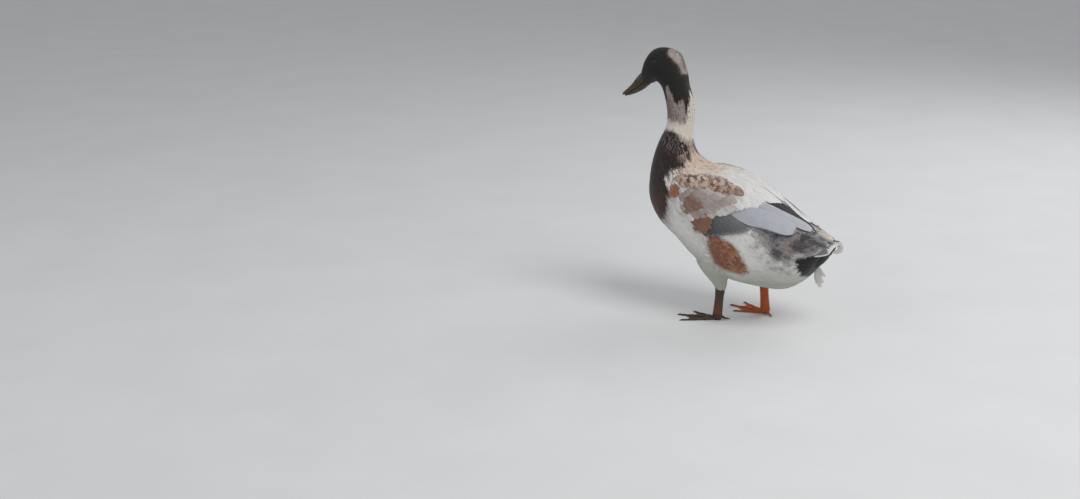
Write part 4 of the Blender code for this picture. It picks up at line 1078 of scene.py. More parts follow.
def flight_vanes(name, word, places, half_widths, lifts, tilt, tint, finish, cup, relief=None, marks=None):
    """Larger vanes on the body, each with a raised shaft, its lower edge lifted over the next vane. lifts is in
    millimetres, (n, rows)."""
    columns = FLIGHT_COLUMNS
    high = lifts[..., None] * MM + tilt * MM * columns + SHAFT + cup * MM * (1 - columns**2)
    thick = bpy.context.scene.drake_sizes.flight_thick
    upper, lower = lay(BODY, places, half_widths, high, columns, thick, relief)
    bake = np.column_stack([places[:, 0, 1] / (2 * math.pi) + 0.5, places[:, 0, 0] / BODY.last])
    made = vane_object(f"{name}_{word}", upper, lower, tint, bake, finish, word == "right", marks)
    return made


def over_arm(s, turn, base):
    """Height of the coverts' bed: the arm, which runs on level over the roots of the flight feathers behind it."""
    return np.maximum(pad_lift(s, turn), BED_HIGH * np.clip((s - BED_START) / 0.4, 0, 1))


def by_rows(stops):
    """A smooth line through the stops (k, ...), read at the flight feathers' rows."""
    return smooth(stops, FLIGHT_ROWS * (len(stops) - 1))


def feather_lines(*stops):
    """Lines (n, rows, k) of feathers, each through its own place in each of the stops (n, k)."""
    return np.stack([by_rows(line) for line in np.stack(stops, 1)])


def on_arm(s, turn, base):
    """Height of the arm alone, as a relief."""
    return pad_lift(s, turn)


def vane_tint(base, edge, count, rng, edge_share=0.8):
    """Colours (n, rows, columns, 3) of a tier: plain vane, painted shade darkening it towards the root and a line along
    the lower edge.
    """
    rows, columns = FLIGHT_ROWS, FLIGHT_COLUMNS
    tint = np.broadcast_to(base, (count, len(rows), len(columns), 3)).copy()
    tint *= rng.uniform(0.93, 1.05, (count, 1, 1, 1))
    # Painted shade: each vane is painted up to 15% darker towards its root, where the feathers over it shade it
    tint *= (0.85 + 0.15 * rows)[None, :, None, None]
    line = (columns > 0.95)[None, :] * np.clip(rows * 3 - 0.6, 0, 1)[:, None] * edge_share
    return mix(tint, edge, line[None, :, :, None])


class DRAKE_OT_wings(DrakeOperator):
    """Folded wings: the arm under its coverts, secondaries, tertials, primaries and scapulars, in tiers."""

    bl_idname = "drake.wings"
    bl_label = "Wings"

    def make(self, tones):
        finish = plumage_finish("flight_plumage", 0.62, 0.15, 0.05, barbs=0.08)
        coat = plumage_finish("covert_plumage", 0.8, 0.2, 0.08, barbs=0.06, lace=tones["lace"])
        for word, table in (("left", PRIMARIES + TERTIALS), ("right", FAR_PRIMARIES + TERTIALS + FAR_TERTIALS)):
            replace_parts(self.arm(word, tones, coat), "wing_" + word)
            self.secondaries(word, tones, finish)
            self.long_feathers(word, table, tones, finish)
            self.coverts(word, tones, coat)
            self.scapulars(word, tones, finish)
            self.laced(word, tones, coat)

    def arm(self, word, tones, finish):
        """The arm as a closed pad between its bulging face and the skin of the flank."""
        place, high = arm_grid(49, 33)
        place, high = place[:, ::-1], high[:, ::-1]
        out = BODY.normal(place[..., 0], place[..., 1])
        base = BODY.point(place[..., 0], place[..., 1])
        top, bottom = base + out * (high - 1.0 * MM)[..., None], base - out * 2.0 * MM
        # Painted shade: the arm under the coverts takes the markings 15% darker
        tint = plumage(base, tones) * 0.85
        piece = vane_object("arm_" + word, top[None], bottom[None], tint[None], np.array([[0.5, 0.5]]), finish,
                            word == "right")
        return piece

    def fanned(self, count, root_line, tip_line, rng, loose):
        """Chart places (count, rows, 2) of vanes between two lines, and each vane's share from the lowest up."""
        share = np.linspace(0, 1, count)
        roots, tips = (line_places(line, share) * TO_CHART for line in (root_line, tip_line))
        tips[:, 0] += rng.uniform(-loose, loose, count)
        return feather_lines(roots, tips), share

    def secondaries(self, word, tones, finish):
        """Dark slate secondaries below the coverts, paler towards the tertials."""
        rng = np.random.default_rng(61)
        places, share = self.fanned(9, [(13.2, 90), (13.5, 56)], [(14.55, 93), (15.12, 62)], rng, 0.015)
        half = (0.8 + 0.1 * share)[:, None] * CM * round_tip(0.16)
        lifts = by_rows(line_places([(2.4, 3.2, 3.0), (2.8, 4.2, 3.7)], share).T).T
        tint = vane_tint(tones["slate"], tones["black"], 9, rng, 0.35)
        pale = np.clip(share * 1.1 - 0.2, 0, 1)[:, None, None, None] * (1.05 - 0.65 * FLIGHT_ROWS)[None, :, None, None]
        tint = mix(tint, tones["lavender"] * 0.75, pale * 0.7)
        tint = mix(tint, tones["white"] * 0.5, ((FLIGHT_ROWS > 0.93) * 0.35)[None, :, None, None])
        flight_vanes("secondaries", word, places, half, lifts, 0.35, tint, finish, cup=0.35)

    def long_feathers(self, word, table, tones, finish):
        """Primaries and tertials, each along a line of its own."""
        rng = np.random.default_rng(62)
        places, half, lifts, tints = [], [], [], []
        for line, width, lift, colour, white, edge in table:
            places.append(by_rows(np.array(line) * TO_CHART))
            half.append(width * CM * round_tip(0.28 if colour == "lavender" else 0.2, 0.6))
            lifts.append(by_rows(lift))
            white = white if word == "left" or colour == "black" else min(1.0, white + 0.55)
            tint = vane_tint(mix(tones[colour], tones["white"], white), tones["black"], 1, rng, edge)
            tip = (FLIGHT_ROWS > 0.965)[None, :, None, None] * edge * 0.6
            tints.append(mix(tint, tones["black"], tip))
        flight_vanes("long_feathers", word, np.array(places), np.array(half), np.array(lifts), 0.35,
                     np.concatenate(tints), finish, cup=0.45)

    def coverts(self, word, tones, finish):
        """Rows of rounded coverts over the arm, the rear row longest, in the colours of the wing's markings."""
        rng = np.random.default_rng(63)
        places, half, lifts, tints = [], [], [], []
        for level, (count, root_line, tip_line, width, high, blunt, edge) in enumerate(COVERT_ROWS):
            made, share = self.fanned(count, root_line, tip_line, rng, 0.05)
            places.append(made)
            half.append(width * CM * rng.uniform(0.92, 1.1, (count, 1)) * round_tip(blunt, 0.7))
            tip = (high[0] + (high[1] - high[0]) * share)[:, None]
            lifts.append(tip * [-0.6, 0.5, 1.0])
            s, turn = made[:, SEEN_ROW].T
            tint = vane_tint(np.ones(3), tones["black"], count, rng, edge)
            tint = tint * plumage(BODY.point(s, turn), tones, s, turn)[:, None, None, :]
            if level == len(COVERT_ROWS) - 1:
                tint = mix(tint, tones["slate"] * 1.5, (FLIGHT_ROWS > 0.95)[None, :, None, None] * 0.5)
            tints.append(tint)
        places, lifts = np.concatenate(places), by_rows(np.concatenate(lifts).T).T
        flight_vanes("coverts", word, places, np.concatenate(half), lifts, 0.25, np.concatenate(tints), finish,
                     cup=0.35, relief=over_arm, marks={"Lace": np.zeros(len(places))})

    def scapulars(self, word, tones, finish):
        """Long white scapulars along the back, over the roots of the tertials."""
        rng = np.random.default_rng(64)
        count = 10
        places, share = self.fanned(count, [(12.6, 50), (12.9, 8)], [(13.95, 40), (14.92, 5)], rng, 0.05)
        half = np.interp(share, [0, 1], [0.95, 0.8])[:, None] * CM * round_tip(0.3)
        lifts = by_rows(line_places([(0.2, 1.0, 4.6), (0.2, 0.9, 1.9)], share).T).T
        tint = vane_tint(tones["white"], tones["black"], count, rng, 0.75)
        low = np.clip(1 - share * 3, 0, 1)[:, None, None, None]
        tint = mix(tint, tones["covert"], low * 0.35)

        def relief(s, turn, base):
            return pad_lift(s, turn) * np.clip((14.0 - s) / 0.8, 0, 1)

        flight_vanes("scapulars", word, places, half, lifts, 0.35, tint, finish, cup=0.3, relief=relief)

    def laced(self, word, tones, finish):
        """Laced scapulars of the shoulder: feathers with pale centres and dark brown bands, the rear ones lowest."""
        rng = np.random.default_rng(65)
        order = LACED[::-1]
        roots, tips = (np.array([side_place(*feather[k]) for feather in order]) for k in (0, 1))
        width, brown = (np.array([feather[k] for feather in order])[:, None] for k in (2, 3))
        level = shares(len(order))
        lifts = by_rows((np.array([[-0.2, 0.6, 0.9]]) + level * [0.2, 0.7, 0.7]).T).T
        pale = mix(tones["cream"], tones["lace_pale"], rng.uniform(0.4, 1.0, (len(order), 1)))
        pale = mix(pale, tones["rust"], brown)
        tint = vane_tint(np.ones(3), tones["lace"], len(order), rng, 0.0) * pale[:, None, None, :]
        strength = rng.uniform(0.6, 1.0, len(order))
        # The rearmost one is the plainest
        strength[0] = 0.5
        half = width * CM * round_tip(0.5, 0.75)
        flight_vanes("laced_scapulars", word, feather_lines(roots, tips), half, lifts, 0.3, tint, finish,
                     cup=0.5, relief=on_arm, marks={"Lace": strength})


def ribbon_vanes(name, paths, half_widths, facing, tint, finish, cup=0.4):
    """Vanes along free paths (n, rows, 3), each with its face towards its facing (n, 3)."""
    way = np.gradient(paths, axis=1)
    side = unit(np.cross(way, facing[:, None, :]))
    up = unit(np.cross(side, way))
    columns = FLIGHT_COLUMNS
    across = side[:, :, None, :] * (half_widths[..., None] * columns)[..., None]
    arch = (cup * MM * (1 - columns**2) + SHAFT)[None, None, :, None]
    centre = paths[:, :, None, :] + across + up[:, :, None, :] * arch
    thick = bpy.context.scene.drake_sizes.flight_thick
    half = (thick / 2 * (1 - columns**2))[None, None, :, None] * up[:, :, None, :]
    bake = np.column_stack([np.linspace(0.2, 0.8, len(paths)), np.full(len(paths), 0.5)])
    made = vane_object(name, centre + half, centre - half, tint, bake, finish)
    return made


class DRAKE_OT_tail(DrakeOperator):
    """Tail feathers, their coverts above and below, the curled feather and the loose one behind the vent."""

    bl_idname = "drake.tail"
    bl_label = "Tail"

    # Innermost and outermost tail feather, the curled one and the tuft, all (x, y, z) in centimetres
    ROOTS, TIPS = [(0.35, 19.2, 16.3), (3.7, 18.4, 14.7)], [(0.5, 22.75, 16.05), (2.75, 21.9, 15.4)]
    CURL = [(0.3, 20.4, 16.2), (0.35, 21.8, 16.0), (0.4, 22.75, 15.9), (0.4, 22.85, 15.2), (0.4, 22.3, 14.7),
            (0.4, 21.4, 14.5)]
    LOOSE_ROOT = (-2.4, 17.9, 11.6)
    LOOSE_TIPS = [(-2.5, 17.7, 8.2), (-2.2, 18.1, 7.6), (-2.2, 18.6, 7.2), (-2.0, 19.0, 7.2), (-2.1, 19.3, 8.0),
                  (-2.3, 19.5, 9.1)]
    # Coverts: name, number, root (y, z), tip (y, z), reach to each side, half width in cm, 1 above and -1 below, colour
    COVERTS = [
        ("upper_tail_coverts", 11, (17.4, 18.3), (20.6, 16.9), 3.9, 0.9, 1, "slate"),
        ("upper_tail_coverts_rear", 11, (18.7, 17.8), (21.4, 16.5), 3.4, 0.85, 1, "slate"),
        ("under_tail_coverts", 11, (17.4, 10.6), (20.9, 13.9), 3.6, 0.95, -1, "vent_black"),
        ("under_tail_coverts_rear", 9, (19.0, 12.6), (21.7, 15.0), 2.6, 0.85, -1, "vent_black"),
    ]

    def make(self, tones):
        finish = plumage_finish("tail_plumage", 0.7, 0.2, 0.06, barbs=0.06)
        self.fan(tones, finish)
        self.coverts(tones, finish)
        self.single("curled_feather", self.CURL, [0.3, 0.42, 0.5, 0.48, 0.4, 0.16], (1, 0, 0), tones, finish)
        for k, tip in enumerate(self.LOOSE_TIPS):
            root = np.array(self.LOOSE_ROOT)
            bend = root + (np.array(tip) - root) * [0.5, 0.3, 0.6]
            self.single(f"loose_feather_{k}", [root, bend, tip], [0.06, 0.36, 0.2], (0.9, 0.4, 0.1), tones, finish)

    def single(self, name, path, widths, facing, tones, finish):
        """One feather along a path in centimetres, with its half width in cm at each point."""
        line = by_rows(np.array(path) * CM) + [0, ORIGIN_Y, 0]
        half = by_rows(widths) * CM
        tint = vane_tint(tones["white"] * 1.05, tones["white"], 1, np.random.default_rng(5))
        facing = np.array([facing], float)
        ribbon_vanes(name, line[None], half[None], facing, tint, finish, 0.2)

    def fan(self, tones, finish):
        """Rectrices: a shallow arched fan, the middle pair uppermost."""
        count = 7
        share = np.linspace(0, 1, count)
        arch = np.stack([0 * share, 0 * share, 0.25 * np.sin(math.pi * share)], -1)
        roots, tips = (line_places(line, share) + arch for line in (self.ROOTS, self.TIPS))
        middle = (roots + tips) / 2 + np.stack([0.25 * share, 0 * share, 0 * share - 0.1], -1)
        lean = np.radians(6 + 40 * share)
        rng = np.random.default_rng(70)
        for side in (1, -1):
            tint = vane_tint(tones["white"], tones["white"], count, rng)
            inner = (FLIGHT_COLUMNS * side < 0.6)[None, :] * (FLIGHT_ROWS < 0.9)[:, None]
            tint = mix(tint, tones["slate"], (inner * 0.85)[None, :, :, None] * (share > 0.2)[:, None, None, None])
            paths = feather_lines(*(stop * [side, 1, 1] * CM for stop in (roots, middle, tips)))
            facing = np.stack([np.sin(lean) * side, 0 * lean, np.cos(lean)], -1)
            half = np.full((count, 1), 0.72) * CM * round_tip(0.25)
            name = "rectrices_left" if side > 0 else "rectrices_right"
            ribbon_vanes(name, paths + [0, ORIGIN_Y, 0], half, facing, tint, finish)

    def coverts(self, tones, finish):
        """Rounded cream coverts over the fan and black ones under it."""
        rng = np.random.default_rng(71)
        for name, count, root, tip, reach, width, sign, colour in self.COVERTS:
            share = np.linspace(-1, 1, count)
            x = share * reach
            sag = 1.0 * share**2
            roots = np.column_stack([x, root[0] - 0.5 * sag, root[1] - sign * sag * 0.9])
            tips = np.column_stack([x * 0.72, tip[0] - 0.6 * sag, tip[1] - sag * (1.25 if sign > 0 else -0.55)])
            middle = (roots + tips) / 2 + [0, 0.15 * (sign < 0), 0.12 * sign - 0.25 * (sign < 0)]
            paths = feather_lines(*(stop * CM for stop in (roots, middle, tips)))
            lean = share * 0.75
            facing = np.stack([np.sin(lean), 0 * lean, np.cos(lean) * sign], -1)
            half = np.full((count, 1), width) * CM * round_tip(0.45, 0.7)
            tint = vane_tint(tones[colour], tones["rump_grey"], count, rng, 0.25)
            if sign > 0:
                dark = rng.uniform(0.5, 1.7, (count, 1, 1, 1))
                tint = mix(tint * dark, tones["cream"], np.clip(1 - np.abs(x) / 1.3, 0, 0.85)[:, None, None, None])
            ribbon_vanes(name, paths + [0, ORIGIN_Y, 0], half, facing, tint, finish)


class DRAKE_OT_eyes(DrakeOperator):
    """Eyeballs with pupil, iris and wet cornea, and lids round them."""

    bl_idname = "drake.eyes"
    bl_label = "Eyes"

    # Radius and height in mm of the lids' rings, from the face to the inside of the rim
    LID_PROFILE = [(7.4, -3.6), (6.8, -1.0), (6.2, 0.2), (5.7, 0.6), (5.3, 0.6), (4.95, 0.35), (4.7, -0.3),
                   (4.6, -2.0)]

    def make(self, tones):
        ball = self.eye_finish(tones)
        lid = two_tone("lid_finish", 0.55, 1400.0, 3.0, (0.02, 0.018, 0.016), (0.06, 0.052, 0.045), (0.5, 0.0005))
        centre, out = eye_axis()
        across = unit(np.cross(out, [0, 0, 1.0]))
        up = np.cross(across, out)
        for word, side in (("left", 1), ("right", -1)):
            self.ball(word, side, centre, out, across, up, ball)
            self.lids(word, side, centre, out, across, up, lid)

    def ball(self, word, side, centre, out, across, up, finish):
        """A sphere as rings round the way it looks; its UV map holds the angle from that way."""
        fall = np.linspace(0.02, math.pi - 0.02, 40)[:, None, None]
        around = ring_turns(48)[..., None]
        off = (across * np.cos(around) + up * np.sin(around)) * np.sin(fall)
        rings = centre + EYE_RADIUS * (out * np.cos(fall) + off)
        made = tube_piece("eyeball_" + word, rings * [side, 1, 1], finish, uv="Gaze")
        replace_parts(made, "eye_" + word)

    def lids(self, word, side, centre, out, across, up, finish):
        """A ring from the face up to a rim on the eyeball, longer than high, closed more from above."""
        a = ring_turns(56)[0]
        wide = np.cos(a) * 1.12
        high = np.where(np.sin(a) > 0, np.sin(a) * 0.86, np.sin(a) * 0.94)
        radial = wide[:, None] * across + high[:, None] * up
        rings = []
        for radius, above in self.LID_PROFILE:
            level = math.sqrt(max(EYE_RADIUS**2 - (min(radius, 5.2) * MM) ** 2 * 0.9, 0))
            rings.append(centre + radial * radius * MM + out * (level + above * MM * 0.8))
        tube_piece("eyelids_" + word, np.array(rings) * [side, 1, 1], finish)

    def eye_finish(self, tones):
        shader = Shader("eye_finish", 0.05, Specular_IOR_Level=0.45)
        uv = shader.node("UVMap", uv_map="Gaze").outputs["UV"]
        fall = shader.node("SeparateXYZ", links={"Vector": uv}).outputs["Y"]
        fibres = shader.noise(1800.0, 2.0)
        iris = shader.blend(shader.spread(fibres, 0.35, 0.65), (*tones["iris"], 1), (*(tones["iris"] * 2.0), 1))
        pupil = shader.spread(fall, 0.17, 0.185)
        shader.link(shader.blend(pupil, (0.002, 0.002, 0.002, 1), iris), "Base Color")
        return shader.material


class DRAKE_OT_bill(DrakeOperator):
    """Upper bill with ridge, nostrils and nail, and lower bill."""

    bl_idname = "drake.bill"
    bl_label = "Bill"

    def make(self, tones):
        finish = horn("bill_finish", 0.36, 260.0, 4.0, (0.78, 1.18), (0.3, 0.48), 1500.0, 0.18, 0.12,
                      Specular_IOR_Level=0.45, Subsurface_Weight=0.05, Subsurface_Scale=0.003)
        upper, lower = Chart(UPPER_BILL, BILL_POWER), Chart(LOWER_BILL, BILL_POWER)
        for name, chart in (("bill_upper", upper), ("bill_lower", lower)):
            rows, sides = 110, 72
            s = np.linspace(-0.25, chart.last, rows)[:, None]
            turn = ring_turns(sides)
            base, out = chart.point(s, turn), chart.normal(s, turn)
            look = self.upper if name == "bill_upper" else self.lower
            lift, tint = look(s, turn, base, tones)
            rings = base + out * lift[..., None]
            piece = tube_piece(name + "_horn", rings, finish, tint, "Along")
            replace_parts(piece, name)

    def upper(self, s, turn, base, tones):
        """Lift and colour of the upper bill: sunk nostrils with a low rim, a nail at the tip, a lip at the edge."""
        y, z = side_view(base)
        share = np.broadcast_to(s / 5, y.shape)
        x = np.abs(base[..., 0]) / CM
        down = np.abs(np.broadcast_to(np.where(turn > math.pi, 2 * math.pi - turn, turn), y.shape))
        slope = np.array([-0.66, -0.75])
        along = (y - NOSTRIL[0]) * slope[0] + (z - NOSTRIL[1]) * slope[1]
        over = (y - NOSTRIL[0]) * -slope[1] + (z - NOSTRIL[1]) * slope[0]
        far = np.sqrt((along / 0.42) ** 2 + (over / 0.15) ** 2)
        hole = 1 / (1 + np.exp((far - 1) * 9)) * (down < 1.9)
        rim = np.exp(-((far - 1.45) / 0.35) ** 2) * (down < 1.9)
        nail = 1 / (1 + np.exp((np.hypot(x / 0.36, (y - NAIL[0]) / 0.36) - 1) * 9)) * (down < 1.5)
        edge = np.exp(-((down - 1.85) / 0.28) ** 2)
        combs = np.sin(share * 190) * np.exp(-((down - 2.2) / 0.22) ** 2) * (share > 0.15)
        lift = (-1.3 * hole + 0.22 * rim + 0.35 * nail + 0.25 * edge + 0.08 * combs) * MM
        speck = noise(base, 0.012, 11)
        tint = np.broadcast_to(tones["bill_olive"], y.shape + (3,))
        tint = mix(tint, tones["bill_brown"], np.clip((down - 0.5) * 1.4, 0, 0.85))
        tint = mix(tint, tones["bill_orange"], np.clip((share - 0.72) * 2.6 + speck * 0.15, 0, 0.7))
        side = np.clip((down - 1.6) * 2.0 + speck * 0.2, 0, 0.7) * (share < 0.8)
        tint = mix(tint, tones["bill_olive"] * 1.2, side)
        pale = np.exp(-((down - 0.95 - speck * 0.08) / 0.14) ** 2) * np.clip(0.75 - share * 1.6, 0, 1)
        tint = mix(tint, tones["bill_olive"] * 2.2, pale)
        dark = np.exp(-((down - 1.3 - speck * 0.1) / 0.22) ** 2) * np.clip(1.15 - share * 1.1, 0, 1)
        tint = mix(tint, tones["bill_dark"], dark * 0.85)
        # Painted shade: the sunk nostril is painted near black for the shade inside the opening
        tint = mix(tint, tones["black"] * 0.6, np.clip(hole, 0, 0.95))
        return lift, mix(tint, tones["bill_dark"] * 1.6, nail * 0.7)

    def lower(self, s, turn, base, tones):
        """Lift and colour of the lower bill: a soft groove between its two arms."""
        share = np.broadcast_to(s / 4, base.shape[:-1])
        x = base[..., 0] / CM
        under = np.cos(np.broadcast_to(turn, x.shape)) < -0.2
        groove = np.exp(-((x / 0.28) ** 2)) * under * np.clip(1.0 - share * 1.25, 0, 1)
        combs = np.sin(share * 170) * (~under) * 0.06
        speck = noise(base, 0.012, 12)
        tint = np.broadcast_to(tones["bill_brown"], x.shape + (3,))
        tint = mix(tint, tones["bill_dark"], np.clip(0.4 + speck * 0.3, 0, 1))
        return (-0.9 * groove + combs) * MM, tint


# Toes: name, spread in degrees, length and thickness in cm; the middle toe turns outward
TOES = [("inner", -27, 4.9, 0.32), ("middle", 0, 6.5, 0.36), ("outer", 25, 6.0, 0.32)]
FOOT_OUTWARD, HIND_OUTWARD = 9, 25
TOE_START = 0.1
SHANK_SIZES = [(0.74, 1.0), (0.66, 0.9), (0.6, 0.82), (0.6, 0.82), (0.64, 0.86), (0.68, 0.9)]
KNUCKLE_RINGS = [(0.15, 0.56, 0.7), (0.55, 0.7, 0.9), (0.95, 0.7, 0.92), (1.22, 0.67, 0.88)]
WEB_REACH, WEB_HOLLOW = 0.93, 0.13
# Scutes down a shank's front or along a toe, and rows of small scales down its back
SCUTES, SCALE_ROWS = 17, 24


def toe_axes(degrees):
    """Unit vectors along and across a toe that points this far round from the bird's front."""
    heading = math.radians(degrees)
    return np.array([math.sin(heading), -math.cos(heading), 0]), np.array([math.cos(heading), math.sin(heading), 0])


class DRAKE_OT_legs(DrakeOperator):
    """Scaled shanks, webbed feet with three toes and a raised hind toe, and claws."""

    bl_idname = "drake.legs"
    bl_label = "Legs"

    def make(self, tones):
        finish = horn("leg_finish", 0.5, 160.0, 3.0, (0.8, 1.15), (0.42, 0.6), 750.0, 0.35,
                      Specular_IOR_Level=0.4, Subsurface_Weight=0.06, Subsurface_Scale=0.002)
        claw = two_tone("claw_finish", 0.35, 700.0, 4.0, (0.03, 0.022, 0.018), (0.10, 0.075, 0.055), (0.2, 0.0004),
                        Specular_IOR_Level=0.5)
        for word, (x, ankle, hock) in LEGS.items():
            side = 1 if x > 0 else -1
            # The near leg is painted dark brown, partly as painted shade and partly as dirt
            stain_and_shade = 0.95 if side > 0 else 0.0
            self.shank(word, x, ankle, hock, stain_and_shade, finish, tones)
            self.foot(word, side, np.array([x * CM, ankle * CM + ORIGIN_Y, 0]), stain_and_shade, finish, tones)
            for toe in ("inner", "middle", "outer", "hind"):
                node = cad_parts[f"claw_{toe}_{word}"]
                node.data.materials.clear()
                node.data.materials.append(claw)

    def shank(self, word, x, ankle, hock, stain_and_shade, finish, tones):
        """A tapering round shank, swollen at both joints, with rows of overlapping scutes down the front."""
        rows, sides = 150, 64
        t = shares(rows)
        turn = ring_turns(sides)
        top = np.array([x * CM, hock * CM + ORIGIN_Y, HOCK_Z + 3 * MM])
        foot = np.array([x * CM, ankle * CM + ORIGIN_Y, ANKLE_Z - 3 * MM])
        wide, deep = (smooth(np.array(SHANK_SIZES)[:, k], t * 5) * CM - 0.3 * MM for k in (0, 1))
        front = np.clip(-np.cos(turn), 0, 1)
        scutes = np.abs(((t * SCUTES + 0.08 * np.cos(turn * 2)) % 1) - 0.5) * 2
        small = np.cos(t * 2 * math.pi * SCALE_ROWS) * np.cos(turn * 14 + (np.floor(t * SCALE_ROWS) % 2) * math.pi)
        lift = 0.28 * MM * (1 - scutes**3) * front**0.6 + 0.14 * MM * small * (1 - front)
        centre = top + (foot - top) * t[..., None]
        off = [(wide + lift) * np.sin(turn), (deep + lift) * np.cos(turn), np.zeros((rows, sides))]
        rings = centre + np.stack(off, -1)
        groove = np.clip(scutes**4 * front, 0, 1) + np.clip(-small, 0, 1) * (1 - front) * 0.5
        base = mix(np.broadcast_to(tones["leg"], (rows, sides, 3)), tones["mud"], np.clip(groove * 0.45, 0, 1))
        down = np.broadcast_to(t, (rows, sides))
        # Painted shade and dirt on the near leg, darkest at the top under the body and a little lighter towards the
        # foot
        stained = np.clip(stain_and_shade * (1.1 - down * 0.3) + 0.06 * noise(rings, 0.01, 9), 0, 0.97)
        tint = mix(base, tones["mud"], stained * (stain_and_shade > 0))
        piece = tube_piece("leg_" + word, rings, finish, tint, "Along")
        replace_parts(piece, "shank_" + word)

    def stained(self, points, tones, stain_and_shade, dark):
        """The legs' colour with dark seams, and with the near leg's dark brown, partly painted shade and partly dirt.
        """
        soft = 0.25 * noise(points, 0.012, 4)
        tint = mix(np.broadcast_to(tones["leg"], points.shape), tones["mud"], np.clip(dark + 0.1 * soft, 0, 1))
        return mix(tint, tones["mud"], np.clip(stain_and_shade + 0.3 * soft, 0, 0.96) * (stain_and_shade > 0))

    def foot(self, word, side, ankle, stain_and_shade, finish, tones):
        """Toes as tapered tubes with scutes and a bulge at each joint, webs between them, and the joint over them."""
        tips = {}
        for name, spread, length, thick in TOES:
            along, across = toe_axes((spread + FOOT_OUTWARD) * side)
            tips[name] = along * (length + TOE_START) * CM
            self.toe(f"toe_{name}_{word}", ankle, along, across, length * CM, thick * CM, stain_and_shade, finish, tones)
        for first, second in (("inner", "middle"), ("middle", "outer")):
            self.web(f"web_{first}_{word}", side, ankle, tips[first], tips[second], stain_and_shade, finish, tones)
        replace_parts(self.knuckle(word, side, ankle, finish, tones, stain_and_shade), "foot_" + word)

    def toe(self, name, ankle, along, across, length, thick, stain_and_shade, finish, tones):
        """A toe: its half width and height taper with t, its sole lies flat on the floor and its end is round."""
        t = shares(120)
        turn = ring_turns(32)
        joint = 1 + 0.13 * np.cos(2 * math.pi * 3 * t)
        end = np.sqrt(np.clip(1 - (np.clip(t - 0.97, 0, 1) / 0.03) ** 2, 0.5, 1))
        half = thick * joint * (1 - 0.45 * t) * end
        high = thick * joint * (1.25 - 0.75 * t) * end
        top = np.clip(np.sin(turn), 0, 1)
        scutes = np.abs(((t * SCUTES) % 1) - 0.5) * 2
        lift = 0.22 * MM * (1 - scutes**4) * top**0.5 * end
        points = ankle + along * (TOE_START * CM + length * t)[..., None] + across * (half * np.cos(turn))[..., None]
        points[..., 2] = np.maximum(0.25 * MM, thick * 0.5 * (1 - 0.45 * t) + (high + lift) * np.sin(turn))
        tint = self.stained(points, tones, stain_and_shade, scutes**6 * top * 0.55)
        tube_piece(name, points, finish, tint)

    def web(self, name, side, ankle, tip_a, tip_b, stain_and_shade, finish, tones):
        """The skin between two toes: it sags between them and its front edge is hollow."""
        v = shares(60)
        t = np.linspace(0.1, 1, 70)[None, :]
        reach = (WEB_REACH - WEB_HOLLOW * np.sin(math.pi * v)) * t
        flat = (tip_a * (1 - v[..., None]) + tip_b * v[..., None]) * reach[..., None]
        high = (1.7 - 0.5 * np.sin(math.pi * v) * t + 0.12 * np.sin(v * 60) * np.sin(math.pi * v)) * MM
        top, bottom = flat + [0, 0, 1] * high[..., None], flat + [0, 0, 1] * (high * 0 + 0.5 * MM)[..., None]
        seam = np.exp(-((t - 1) / 0.02) ** 2) * np.ones_like(high)
        tint = self.stained(top + ankle, tones, stain_and_shade, 0.15 + 0.3 * seam)
        if side < 0:
            top, bottom, tint = top[::-1], bottom[::-1], tint[::-1]
        sheets = ((top + ankle)[None], (bottom + ankle)[None])
        vane_object(name, *sheets, tint[None], np.array([[0.5, 0.5]]), finish)

    def knuckle(self, word, side, ankle, finish, tones, stain_and_shade):
        """The joint over the toes and the hind toe, each a closed tube."""
        turn = ring_turns(48)
        t = shares(36)
        high, wide, deep = (smooth(np.array(KNUCKLE_RINGS)[:, k], t * 3) * CM for k in range(3))
        small = 0.12 * MM * np.cos(t * 2 * math.pi * 9) * np.cos(turn * 13)
        rings = ankle + np.stack([(wide + small) * np.sin(turn), (deep + small) * np.cos(turn), high + 0 * turn], -1)
        tint = self.stained(rings, tones, stain_and_shade, np.clip(-small / MM * 3, 0, 0.4))
        piece = tube_piece("knuckle_" + word, rings, finish, tint)
        along, across = toe_axes((FOOT_OUTWARD + HIND_OUTWARD) * side + 180)
        centre = ankle + [0, 0, 0.9 * CM] + (along * 1.5 * CM - [0, 0, 0.675 * CM]) * t[..., None]
        radius = np.interp(t, [0, 0.53, 0.93, 1], [0.3, 0.26, 0.19, 0.1]) * CM * (1 + 0.05 * np.cos(t * 40))
        up = np.cross(along, across)
        rings = centre + radius[..., None] * (across * np.sin(turn)[..., None] + up * np.cos(turn)[..., None])
        tint = self.stained(rings, tones, stain_and_shade, 0.1)
        tube_piece("hind_toe_" + word, rings, finish, tint)
        return piece


